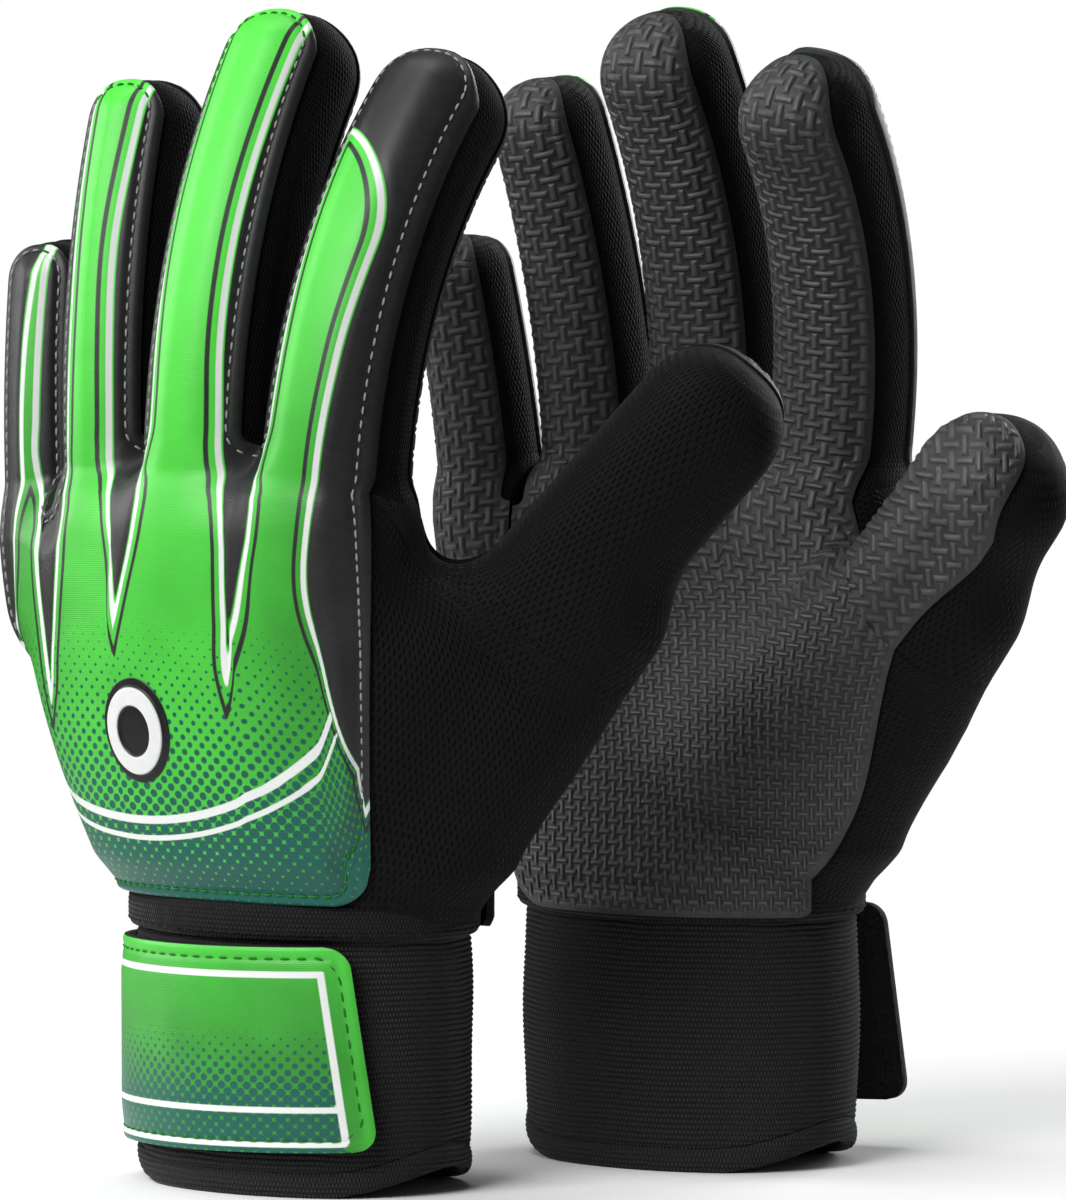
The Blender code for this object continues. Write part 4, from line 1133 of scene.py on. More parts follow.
BACK = FaceSpec(Face.BACK, cover=0.83, thumb_side_cover=0.94, slots=(136.5, 149.0, 150.0), cut_low=130.5,
                cut_high=141.0, seams=(-88.0, 47.0), corner=8.0, flange=0.7, stitch=2.1, puff=1.6, groove=0.45,
                columns=43, rows=118, hand_rows=132, drop=0.0, tips=(46.0, 46.0, 46.0, 50.0), bow=0.0)
PALM = FaceSpec(Face.PALM, cover=0.86, thumb_side_cover=0.88, slots=(132.0, 141.0, 141.0), cut_low=124.0,
                cut_high=134.0, seams=(-127.0, -248.0), corner=3.0, flange=0.3, stitch=1.2, puff=1.0, groove=0.0,
                columns=53, rows=170, hand_rows=168, drop=6.4, tips=(88.0, 96.0, 104.0, 112.0), bow=5.0)


class Outline:
    """Cut edge of a panel as dense points, of the flat plane or of space."""

    def __init__(self, lines: list[Array]) -> None:
        """Take the lines at a third of a millimetre."""
        self.points = np.concatenate([resample(line, 0.33) for line in lines])

    def distance(self, places: Array) -> Array:
        """Distance of places to the nearest edge point, from squares and products."""
        spots = places.reshape(-1, places.shape[-1])
        square = np.sum(self.points**2, axis=-1)
        near = [np.min(square - 2 * part @ self.points.T, axis=1) + np.sum(part**2, axis=-1)
                for part in np.array_split(spots, max(1, len(spots) // 2000))]
        return np.sqrt(np.maximum(np.concatenate(near), 0.0)).reshape(places.shape[:-1])


class SewnFace:
    """The back or the palm of one glove: the hand's panel and a panel on every stall."""

    tip_rows = 18
    thumb_cover = 0.95
    thumb_top = 84.0
    binding = (39.2, 28.8)
    corner_run = 16.0
    below_slots = -32.0
    thumb_foot = 62.0
    finer = 0.40
    finer_range = (80.0, 140.0)
    view_slant = 0.674
    view_depth = 8.0

    def __init__(self, form: HandForm, spec: FaceSpec) -> None:
        """Lay every panel on the form and measure its places from the cut edge."""
        self.form, self.spec = form, spec
        self.lines: list[Array] = []
        self.border: list[Array] = []
        self.paths: dict[str, Array] = {}
        self.digits = {name: self.digit(name) for name in ACROSS}
        for first, last in zip(ACROSS, ACROSS[1:]):
            self.join(self.digits[first], self.digits[last])
        self.crotch: Array | None = None
        self.hand = self.lay_hand()
        self.outline, self.rim = Outline(self.lines), Outline(self.border)

    def middle(self, name: str) -> float:
        """Half width of a stall with its half of the gap to the next."""
        return self.form.fingers[name].half_width + self.form.finger_gap / 2

    def cut(self, across: Array) -> Array:
        """Height of the line where the hand's panel gives way to the stalls' panels."""
        low, high = self.form.centres["pinky"], self.form.centres["index"]
        return self.spec.cut_low + (self.spec.cut_high - self.spec.cut_low) * (across - low) / (high - low)

    def slot(self, name: str, thumb_side: bool) -> float | None:
        """Distance along a stall at which the slot beside it begins, if there is one."""
        number = ACROSS.index(name) - (0 if thumb_side else 1)
        if 0 <= number < len(self.spec.slots):
            return self.spec.slots[number] - STALLS[name].knuckle
        return None

    def edge(self, name: str, thumb_side: bool, t: Array) -> Array:
        """Half width of a stall's panel: to the middle of the gap below the slot, then a quarter circle in."""
        limb = self.form.fingers[name]
        outer = thumb_side and name == "index"
        cover = (self.spec.thumb_side_cover if outer else self.spec.cover) * limb.section(t)[0]
        start = self.slot(name, thumb_side)
        if start is None:
            return cover
        reach = self.middle(name) - cover
        q = np.clip((t - start) / np.maximum(reach, 0.1), 0.0, 1.0)
        return self.middle(name) - reach * np.sqrt(1 - (1 - q) ** 2)

    def tip(self, edge: Array, top: float) -> tuple[Array, Array]:
        """Places across and angles of the rows that close a panel over a stall's rounded end."""
        turn = np.linspace(0.0, math.pi / 2, self.tip_rows + 1)[1:, None]
        shrink = power(np.cos(turn))
        shrink[-1] = 0.0
        x = shrink * edge
        return x, np.broadcast_to(math.radians(top) * power(np.sin(turn)), x.shape)

    def cloth(self, limb: Limb, x: Array, t: Array, top: float, start: tuple[float, float]) -> Cloth:
        """Panel of a stall from its places across and along, closed over the stall's end.

        Args:
            limb: Stall that carries the panel.
            x: Places across, up to the row where the end begins.
            t: Places along.
            top: Angle over the end at which the panel closes, in degrees.
            start: Flat place of the stall's root.

        Returns:
            Points, normals and flat places.
        """
        x_end, angle = self.tip(x[-1], top)
        points = np.concatenate([self.form.cast(limb, self.spec.face, x, t),
                                 self.form.crown(limb, self.spec.face, x_end, angle)])
        over = limb.cap + limb.section(np.array(limb.cap))[1] * angle
        flat = np.stack([start[0] + np.concatenate([x, x_end]), start[1] + np.concatenate([t, over])], axis=-1)
        return Cloth(points, unit(self.form.slope(points)), flat)

    def digit(self, name: str) -> Cloth:
        """Panel of a finger, from the cut line to its rounded end."""
        limb, across, knuckle = self.form.fingers[name], self.form.centres[name], STALLS[name].knuckle
        share = np.linspace(0.0, 1.0, self.spec.columns)
        below = np.array((self.below_slots,))
        ends = [-self.edge(name, False, below)[0], self.edge(name, True, below)[0]]
        foot = self.cut(across + ends[0] + (ends[1] - ends[0]) * share) - knuckle
        step = np.linspace(0.0, 1.0, self.spec.rows)[:, None] ** 1.15
        t = foot + (limb.cap - foot) * step
        left, right = -self.edge(name, False, t), self.edge(name, True, t)
        x = left + (right - left) * share
        cloth = self.cloth(limb, x, t, self.spec.tips[ACROSS.index(name)], (across, knuckle))
        flat = cloth.flat
        low = [self.slot(name, side) for side in (False, True)]
        starts = [0 if s is None else int(np.argmax(t[:, c] >= s)) for s, c in zip(low, (0, -1))]
        path = np.concatenate([flat[starts[0]:, 0], flat[starts[1]:, -1][::-1]])
        self.border.append(np.concatenate([cloth.points[starts[0]:, 0], cloth.points[starts[1]:, -1][::-1]]))
        ends = [flat[0, c] if s is None else np.array((across + sign * self.middle(name), knuckle + s))
                for s, c, sign in zip(low, (0, -1), (-1, 1))]
        path = np.concatenate([ends[0][None], path, ends[1][None]])
        self.lines.append(path)
        self.paths[name] = path
        return cloth

    @staticmethod
    def join(first: Cloth, last: Cloth) -> None:
        """Let two neighbours share the point between them on the cut line."""
        point = (first.points[0, -1] + last.points[0, 0]) / 2
        normal = unit(first.normals[0, -1] + last.normals[0, 0])
        first.points[0, -1], last.points[0, 0] = point, point
        first.normals[0, -1], last.normals[0, 0] = normal, normal

    def thumb(self, start: Array, height: float) -> Cloth:
        """Latex face of the thumb, from its split to its rounded end."""
        limb = self.form.thumb
        t = np.linspace(self.form.thumb_split, limb.cap, 84)[:, None]
        share = np.linspace(-1.0, 1.0, 53)
        x = self.thumb_cover * limb.section(t)[0] * share
        t = np.broadcast_to(t, x.shape)
        root = (start + self.thumb_cover * limb.half_width, height - self.form.thumb_split)
        cloth = self.cloth(limb, x, t, self.thumb_top, root)
        path = np.concatenate([cloth.flat[:, 0], cloth.flat[::-1, -1]])
        self.border.append(np.concatenate([cloth.points[:, 0], cloth.points[::-1, -1]]))
        self.lines.append(path)
        self.paths["thumb"] = path
        return cloth

    def lay_hand(self) -> Cloth:
        """Panel of the hand between the wrist, two side seams and the feet of the stalls' panels.

        Flat places run evenly from the wrist, where they follow its curve, to the cut line.
        """
        form, spec = self.form, self.spec
        head = np.concatenate([self.digits[name].points[0][(name != "pinky"):] for name in ACROSS])
        head_flat = np.concatenate([self.digits[name].flat[0][(name != "pinky"):] for name in ACROSS])
        if spec.face is Face.PALM:
            head, head_flat = self.add_thumb(head, head_flat)
        run = run_length(head)
        foot = form.wrist(*spec.seams, run / run[-1])
        curve = run_length(foot)
        zero = np.interp(0.0, foot[:, 0], curve)
        inset = np.clip(spec.corner - (curve[-1] - curve), 0.0, spec.corner)
        foot[:, 2] += spec.corner - np.sqrt(spec.corner**2 - inset**2)
        foot = np.concatenate([foot[:1], form.settle(foot[1:])])
        left = form.seam(foot[0], head[0], spec.hand_rows)
        right = form.seam(foot[-1], head[-1], spec.hand_rows, spec.bow)
        points = form.lay(foot, head, left, right)
        self.seams = left, right
        steps = np.linalg.norm(np.diff(points, axis=0), axis=-1)
        share = np.concatenate([np.zeros((1, len(head))), np.cumsum(steps, axis=0)])
        length = share[-1]
        share = (share / length)[..., None]
        foot_flat = np.stack([curve - zero, foot[:, 2]], axis=-1)
        flat = foot_flat * (1 - share) + head_flat * share
        if spec.face is Face.BACK:
            flat = self.even_flow(points, foot_flat, head_flat, share, length[:, None])
        normals = unit(form.slope(points))
        if spec.drop:
            points, normals, flat = self.lengthen(points, normals, flat)
        self.lines += [flat[:, 0], flat[:, -1], flat[0]]
        self.border += [points[:, 0], points[:, -1], points[0]]
        self.paths["hand"] = np.concatenate([flat[::-1, 0], flat[0], flat[:, -1]])
        return Cloth(points, normals, flat)

    def even_flow(self, points: Array, foot: Array, head: Array, share: Array, length: Array) -> Array:
        """Flat places whose columns start and end in the ways that the surface's columns do.

        Cubic between both ends, with slopes from the column's way along the wrist and along the stalls.
        """
        across = unit(np.gradient(points[0], axis=0))
        first, last = unit(points[1] - points[0]), unit(points[-1] - points[-2])
        lean = np.sum(first * across, axis=-1)
        start = np.stack([lean, np.sqrt(1 - lean**2)], axis=-1) * length
        sides = [np.broadcast_to(self.form.fingers[name].side, (self.spec.columns, 3))[(name != "pinky"):]
                 for name in ACROSS]
        lean = np.sum(last * np.concatenate(sides), axis=-1)
        end = np.stack([lean, np.sqrt(1 - lean**2)], axis=-1) * length
        s2, s3 = share**2, share**3
        return ((2 * s3 - 3 * s2 + 1) * foot + (s3 - 2 * s2 + share) * start
                + (3 * s2 - 2 * s3) * head + (s3 - s2) * end)

    def lengthen(self, points: Array, normals: Array, flat: Array) -> tuple[Array, Array, Array]:
        """Carry a panel's foot on down over the binding, moving out to clear its oval."""
        down = np.linspace(self.spec.drop, 0.0, 16, endpoint=False)[:, None]
        foot = points[0]
        oval = np.array(self.binding)
        clear = 1 / np.hypot(foot[:, 0] / oval[0], foot[:, 1] / oval[1])
        way = run_length(foot)
        down = down * (1 - (1 - np.clip(way / self.corner_run, 0.0, 1.0)) ** 2.2)
        size = 1 + (np.maximum(clear, 1.0) - 1) * smooth(down, 0.0, 4.0)
        rows = np.stack([foot[:, 0] * size, foot[:, 1] * size, foot[:, 2] - down], axis=-1)
        out = unit(np.concatenate([rows[..., :2] / oval**2, 0.0 * rows[..., 2:]], axis=-1))
        blend = smooth(down, 0.0, 4.0)[..., None]
        out = unit(out * blend + normals[0] * (1 - blend))
        lower = flat[0] - np.stack([0.0 * down, down], axis=-1)
        return np.concatenate([rows, points]), np.concatenate([out, normals]), np.concatenate([lower, flat])

    def pattern(self, name: str, cloth: Cloth) -> Array:
        """Places of a repeated pattern: straight through the palm and the thumb, and along each finger."""
        across = cloth.points[..., 0] + self.view_slant * (cloth.points[..., 1] - self.view_depth)
        seen = np.stack([across, cloth.points[..., 2]], axis=-1)
        if name == "thumb":
            return seen
        if name != "hand":
            return cloth.flat
        rows, columns = seen.shape[:2]
        fingers = len(ACROSS) * (self.spec.columns - 1)
        near = smooth(np.arange(rows) / rows, 0.68, 1.0)[:, None]
        near = near * (1 - smooth(np.arange(columns), fingers, fingers + 12.0))
        finer = 1 + self.finer * (1 - smooth(seen[..., 1], *self.finer_range))
        top = self.finer_range[1]
        seen = np.stack([seen[..., 0] * finer, top + (seen[..., 1] - top) * finer], axis=-1)
        return seen + (cloth.flat - seen) * near[..., None]

    def add_thumb(self, head: Array, head_flat: Array) -> tuple[Array, Array]:
        """Carry the palm's head on along the crotch and across the thumb."""
        form = self.form
        limb = form.thumb
        split = np.array([form.thumb_split])
        corner = form.cast(limb, self.spec.face, -self.thumb_cover * limb.section(split)[0], split)[0]
        self.crotch = form.seam(head[-1], corner, 46)
        reach = run_length(self.crotch)
        start = head_flat[-1, 0] + 0.5 * reach[-1]
        height = form.bottom + self.thumb_foot
        self.digits["thumb"] = self.thumb(start, height)
        run = (reach / reach[-1])[1:-1, None]
        self.digits["thumb"].points[0, 0] = corner
        link = head_flat[-1] + (self.digits["thumb"].flat[0, 0] - head_flat[-1]) * run
        self.lines.append(np.concatenate([head_flat[-1:], link, self.digits["thumb"].flat[0, :1]]))
        self.border.append(self.crotch)
        points = [head, self.crotch[1:-1], self.digits["thumb"].points[0]]
        return np.concatenate(points), np.concatenate([head_flat, link, self.digits["thumb"].flat[0]])

    def height(self, edge: Array) -> Array:
        """Height of the panel over the form by the distance from its edge.

        A rounded lip, a flat flange, a groove under the stitches and foam puffed up inside.
        """
        spec = self.spec
        lip = spec.flange * (0.4 + 0.6 * smooth(edge, 0.0, 0.7))
        groove = spec.groove * np.exp(-((edge - spec.stitch) / 0.6) ** 2)
        return lip - groove + spec.puff * smooth(edge, spec.stitch, spec.stitch + 7.5)


class Panels:
    """Sews one face of a glove into pieces: printed backs or latex palms."""

    rim_depth = 1.6

    def __init__(self, face: SewnFace, stand: Stand, finishes: Finishes) -> None:
        """Keep what the pieces are made from."""
        self.face, self.stand, self.finishes = face, stand, finishes
        self.back = face.spec.face is Face.BACK
        self.print, self.weave = BackPrint(), Weave()

    def surface(self, name: str, cloth: Cloth) -> tuple[Array, Array, dict[str, Array]]:
        """Height, pattern places and values of a panel's points.

        Returns:
            Height over the form, then the places and the values that its material reads.
        """
        edge = self.face.outline.distance(cloth.flat) if self.back else self.face.rim.distance(cloth.points)
        height = self.face.height(edge)
        if self.back:
            values = self.print.values(cloth.flat)
            height = height - 0.22 * np.exp(-((values["black"] - 0.2) / 0.7) ** 2) * smooth(edge, 2.6, 4.5)
            return height, cloth.flat, values
        places = self.face.pattern(name, cloth)
        fade = smooth(edge, 0.5, 2.4)
        return height + 0.30 * fade * self.weave.height(places), places, {"emboss": fade}

    def rim(self, sewing: Sewing, line: Array, inner: Array, normals: Array) -> None:
        """Add the cut edge under one border of a panel, facing away from the panel."""
        away = unit(line - inner)
        foot = line - normals * self.rim_depth - away * 0.1
        sewing.grid(np.stack([line, foot]), np.stack([away, away]), resample_flat(line, foot), slot=2)

    def piece(self, name: str, key: str, cloth: Cloth, sides: tuple[str, ...], pole: bool) -> Sewing:
        """Panel with its cut edges, also along the crotch of the thumb."""
        height, places, values = self.surface(key, cloth)
        points = cloth.raised(height)
        sewing = Sewing(f"{self.stand.hand.value}_{name}_sewn", self.stand)
        sewing.grid(points, cloth.normals, places, 0, values, pole=pole)
        borders = {"left": (slice(None), 0, 1), "right": (slice(None), -1, -2)}
        for side in sides:
            if side == "foot":
                self.rim(sewing, points[0], points[1], cloth.normals[0])
            else:
                rows, edge, inside = borders[side]
                self.rim(sewing, points[rows, edge], points[rows, inside], cloth.normals[rows, edge])
        if key == "hand" and self.face.crotch is not None:
            start = len(ACROSS) * (self.face.spec.columns - 1)
            fork = slice(start, start + len(self.face.crotch))
            self.rim(sewing, points[-1, fork], points[-2, fork], cloth.normals[-1, fork])
        return sewing

    def stitch(self, sewing: Sewing, cloth: Cloth, path: Array, closed_by: str) -> None:
        """Row of stitches inside a cut edge, at the depth of the groove."""
        fine = resample(path, 0.8)
        ahead = unit(np.gradient(fine, axis=0))
        normal = np.stack([-ahead[:, 1], ahead[:, 0]], axis=-1)
        sign = -1.0 if closed_by == "stall" else 1.0
        inset = fine + sign * normal * self.face.spec.stitch
        keep = self.face.outline.distance(inset) > self.face.spec.stitch - 0.45
        inset = inset[keep]
        if len(inset) < 8:
            return
        spots = resample(inset, 2.5)
        points, normals = cloth.locate(spots)
        height = self.face.height(np.full(len(spots), self.face.spec.stitch))
        dark = self.print.values(spots)["black"] < 0.4
        sewing.stitches(points + normals * (height[:, None] + 0.05), normals, 1.7, 0.25, np.where(dark, 1, 3))

    def materials(self) -> list[bpy.types.Material]:
        """Face, thread on dark parts, cut edge and thread on green parts."""
        f = self.finishes
        return [f.back, f.thread, f.raw, f.dark_thread] if self.back else [f.latex, f.black_thread, f.foam]


def resample_flat(line: Array, foot: Array) -> Array:
    """Flat coordinates of a strip: the way along it, and its depth."""
    run = run_length(line)
    depth = np.linalg.norm(foot - line, axis=-1)
    return np.stack([np.stack([run, 0.0 * run], axis=-1), np.stack([run, depth], axis=-1)])


class Skin:
    """Knit pieces between the padded panels: stalls' walls, thumb side and outer side."""

    depth = 0.45
    tuck = 3.2
    tuck_depth = 1.5
    foot_shrink = (0.93, 0.95, 1.0)
    foot_drop = 4.0
    root_run = 9.0

    def __init__(self, form: HandForm, back: SewnFace, palm: SewnFace, stand: Stand) -> None:
        """Keep the form and the panels whose borders the knit meets."""
        self.form, self.back, self.palm, self.stand = form, back, palm, stand

    def stall(self, name: str, limb: Limb, start: float, root: float, most: float) -> Sewing:
        """Whole knit stall under a finger's or thumb's panels.

        Args:
            name: Name of the piece.
            limb: Finger or thumb that the knit covers.
            start: Distance along the limb at which the knit begins.
            root: Distance up to which the knit lies on the form's fillet.
            most: Farthest that a point moves to the fillet.

        Returns:
            The piece.
        """
        points, flat = limb.tube(start, 96, 72, self.depth)
        shift = self.form.settle(points, -self.depth, 9) - points
        size = np.linalg.norm(shift, axis=-1, keepdims=True)
        shift = shift * np.minimum(1.0, most / np.maximum(size, 1e-6))
        points = points + shift * (1 - smooth(flat[..., 1:], root - self.root_run, root))
        centre = limb.frame(np.clip(flat[:, 0, 1], start, limb.cap))[0]
        sewing = Sewing(f"{self.stand.hand.value}_{name}_sewn", self.stand)
        sewing.grid(points, unit(points - centre[:, None] + 1e-6), flat, ring=True, pole=True)
        return sewing

    def web(self, sewing: Sewing, first: str, last: str, top: float) -> None:
        """Small knit fork that closes the gap between two stalls at its foot."""
        limbs = self.form.fingers[first], self.form.fingers[last]
        heights = np.linspace(top - 26.0, top + 1.0, 12)
        edges = [limb.frame(heights - limb.root[2])[0] for limb in limbs]
        share = np.linspace(0.0, 1.0, 9)[None, :, None]
        sag = -3.0 * (heights > top - 3.0)[:, None] * np.exp(-((share[..., 0] - 0.5) / 0.2) ** 2)
        points = edges[0][:, None] * (1 - share) + edges[1][:, None] * share
        points[..., 2] += sag
        flat = np.stack(np.broadcast_arrays(share[..., 0] * 20.0, heights[:, None]), axis=-1)
        sewing.grid(points, np.broadcast_to(np.array((0.0, 1.0, 0.0)), points.shape), flat)

    def side(self, name: str, near: Array, far: Array, low: Array, high: Array) -> Sewing:
        """Knit panel between two seams, tucked under the panels that it meets."""
        points = self.form.lay(near, far, low, high, -self.depth)
        points = self.form.settle(points, -self.depth, 4)
        points = self.tucked(self.tucked(points).swapaxes(0, 1), foot=True).swapaxes(0, 1)
        normals = unit(self.form.slope(points))
        middle = points.shape[0] // 2
        along = run_length(points[middle])
        across = np.concatenate([np.zeros((1, points.shape[1])),
                                 np.cumsum(np.linalg.norm(np.diff(points, axis=0), axis=-1), axis=0)])
        across = across - across[middle]
        flat = np.stack([across, np.broadcast_to(along, across.shape)], axis=-1)
        sewing = Sewing(f"{self.stand.hand.value}_{name}_sewn", self.stand)
        sewing.grid(points, normals, flat)
        return sewing

    def tucked(self, points: Array, foot: bool = False) -> Array:
        """Add a row beyond each border, sunk under the neighbour, or dropped to the cuff at the foot."""
        ends = [self.form.settle(row + unit(row - inner) * self.tuck, -self.tuck_depth, 4)
                for row, inner in ((points[0], points[2]), (points[-1], points[-3]))]
        if foot:
            ends[0] = points[0] * np.array(self.foot_shrink) - np.array((0.0, 0.0, self.foot_drop))
        return np.concatenate([ends[0][None], points, ends[1][None]])

    def thumb_side(self) -> Sewing:
        """Mesh from the back's thumb-side seam round to the palm's, up to the index finger and the thumb."""
        form, index, thumb = self.form, self.form.fingers["index"], self.form.thumb
        corner = form.wrist(self.back.spec.seams[1] - 3.0, self.back.spec.seams[1], np.zeros(1))
        seam_near = self.even(np.concatenate([corner, self.back.seams[1]]), 100)
        seam_far = self.even(self.palm.seams[1], 100)
        crotch = self.palm.crotch
        near = np.concatenate([seam_near, self.round(index, seam_near[-1], crotch[0], False, 46)[1:]])
        far = np.concatenate([seam_far, self.round(thumb, seam_far[-1], crotch[-1], True, 46)[1:]])
        low = form.wrist(self.back.spec.seams[1], self.palm.spec.seams[1] + 360.0, np.linspace(0.0, 1.0, 64))
        low[0], low[-1] = near[0], far[0]
        return self.side("thumb_panel", near, far, low, self.even(crotch, 64))

    def outer_side(self) -> Sewing:
        """Mesh from the back's outer seam round to the palm's, up to the little finger."""
        near, far = self.even(self.back.seams[0], 100), self.even(self.palm.seams[0], 100)
        low = self.form.wrist(self.back.spec.seams[0], self.palm.spec.seams[0], np.linspace(0.0, 1.0, 40))
        low[0], low[-1] = near[0], far[0]
        high = self.round(self.form.fingers["pinky"], near[-1], far[-1], False, 40)
        return self.side("outer_panel", near, far, low, high)

    @staticmethod
    def even(line: Array, count: int) -> Array:
        """A number of points evenly along a line."""
        run = run_length(line)
        where = np.linspace(0.0, run[-1], count)
        return np.stack([np.interp(where, run, line[:, k]) for k in range(3)], axis=-1)

    def round(self, limb: Limb, first: Array, last: Array, over_back: bool, count: int) -> Array:
        """Line round a stall from one surface point to another, laid on the form.

        Args:
            limb: Stall that the line goes round.
            first: Start of the line.
            last: End of the line.
            over_back: Whether the line goes round by the back of the stall.
            count: Number of points.

        Returns:
            Points from first to last.
        """
        ends = []
        for point in (first, last):
            offset = point - limb.root
            t = offset @ limb.up
            centre, _, back = limb.frame(np.array(t))
            past = point - centre
            ends.append((math.atan2(past @ limb.side, past @ back), t))
        share = np.linspace(0.0, 1.0, count)
        angle = ends[0][0] + (ends[1][0] - ends[0][0]) * share
        t = ends[0][1] + (ends[1][1] - ends[0][1]) * share
        if not over_back and abs(ends[1][0] - ends[0][0]) > math.pi:
            angle = ends[0][0] + ((ends[1][0] - ends[0][0]) % (2 * math.pi)) * share
        width, depth = limb.section(t)
        line = limb.place(width * np.sin(angle), t, depth * np.cos(angle))
        line = self.form.settle(line, 0.0, 8)
        line[0], line[-1] = first, last
        return line


class Cuff:
    """Elastic cuff with its turned hem, the binding tape over it and the lining above."""

    half = (36.5, 26.0)
    top = 52.5
    hem_height = 5.0
    hem_rise = 5.5
    hem_flat = 30.0
    rib = 1.1
    fine_rib = 0.95
    loop = 2 * math.pi * 36.5 / 270
    around = 200

    def __init__(self, stand: Stand) -> None:
        """Keep the stand and the angles round the cuff, from the middle of the back."""
        self.stand = stand
        self.angle = np.linspace(-math.pi, math.pi, self.around, endpoint=False)
        lean = np.degrees(np.arcsin(np.abs(np.sin(self.angle))))
        self.low = self.hem_rise * smooth(lean, self.hem_flat, 90.0)
        self.way = self.half[0] * self.angle

    def ring(self, offset: Array, height: Array) -> Array:
        """Points of the oval moved outwards, with offsets and heights for every row and angle."""
        offset, height = np.broadcast_arrays(offset, height)
        across = (self.half[0] + offset) * np.sin(self.angle)
        depth = (self.half[1] + offset) * np.cos(self.angle)
        return np.stack([across, depth, height], axis=-1)

    def band(self, name: str, outer: Array, heights: Array, wall: float) -> Sewing:
        """Closed band: outer face with its relief, then the inner face."""
        inner_heights = heights[[-1, len(heights) // 2, 0]]
        offset = np.concatenate([outer, outer[-1:] - 0.3, np.full((3, self.around), -wall), outer[:1] - 0.3])
        height = np.concatenate([heights, heights[-1:] + 0.05, inner_heights, heights[:1] - 0.0])
        points = self.ring(offset, height)
        points[..., 2] = np.maximum(points[..., 2], 0.0)
        outward = self.ring(np.ones_like(offset), 0 * height) - self.ring(np.zeros_like(offset), 0 * height)
        sign = np.ones(len(offset))
        sign[len(outer) + 1:-1] = -1.0
        flat = np.stack([np.broadcast_to(self.way, height.shape), height], axis=-1)
        sewing = Sewing(f"{self.stand.hand.value}_{name}_sewn", self.stand, 2 * math.pi * self.half[0])
        sewing.grid(points, outward * sign[:, None, None], flat, ring=True)
        return sewing

    def elastic(self) -> Sewing:
        """Cuff with cord ribs: rounded rows that waver a little over a slack surface."""
        start = self.low + self.hem_height + 0.1
        share = np.linspace(0.0, 1.0, 400)[:, None]
        height = start + (self.top - start) * share
        waver = 0.12 * np.sin(9 * self.angle + 0.8 * np.sin(height / 7.0))
        waver = waver + 0.07 * np.sin(16 * self.angle + height / 3.0)
        cord = np.abs(np.sin((height + waver) / self.rib * math.pi)) ** 0.7
        slack = 0.35 * np.sin(3 * self.angle + height / 19.0) * np.sin(height / 8.5 + self.angle)
        puff = 0.8 * np.sin(math.pi * share) ** 0.5
        return self.band("cuff", -0.5 + puff + slack * np.sin(math.pi * share) + 0.42 * cord, height, 2.2)

    def hem(self) -> Sewing:
        """Turned hem with finer ribs and a rounded section."""
        share = np.linspace(0.0, 1.0, 64)[:, None]
        height = self.low + self.hem_height * share
        bulge = 0.9 * np.sqrt(np.clip(1 - (2 * share - 1) ** 2, 0.0, 1.0))
        cord = np.abs(np.sin(height / self.fine_rib * math.pi + 0.3 * np.sin(16 * self.angle))) ** 0.8
        return self.band("cuff_hem", -0.7 + bulge + 0.26 * cord, height, 2.8)

    def binding(self) -> Sewing:
        """Binding tape, bulging, with a row of stitches along its lower edge."""
        share = np.linspace(0.0, 1.0, 64)[:, None]
        height = self.top - 1.2 + 7.6 * share + 0.0 * self.angle
        bulge = 1.9 * np.sqrt(np.clip(1 - (2 * share - 1) ** 4, 0.0, 1.0))
        pucker = 0.07 * np.sin(44 * self.angle + 1.3 * np.sin(4 * self.angle)) * np.sin(math.pi * share)
        cord = 0.13 * np.abs(np.sin(height / self.fine_rib * math.pi))
        sewing = self.band("wrist_binding", 0.1 + bulge + pucker + cord, height, 0.6)
        row = self.ring(np.full((1, self.around), 1.9), np.full((1, self.around), self.top + 0.4))[0]
        spots = resample(np.concatenate([row, row[:1]]), 3.0)
        out = unit(spots * np.array((1.0, 2.0, 0.0)))
        sewing.stitches(spots, out, 2.1, 0.22, 1, 0.6)
        return sewing


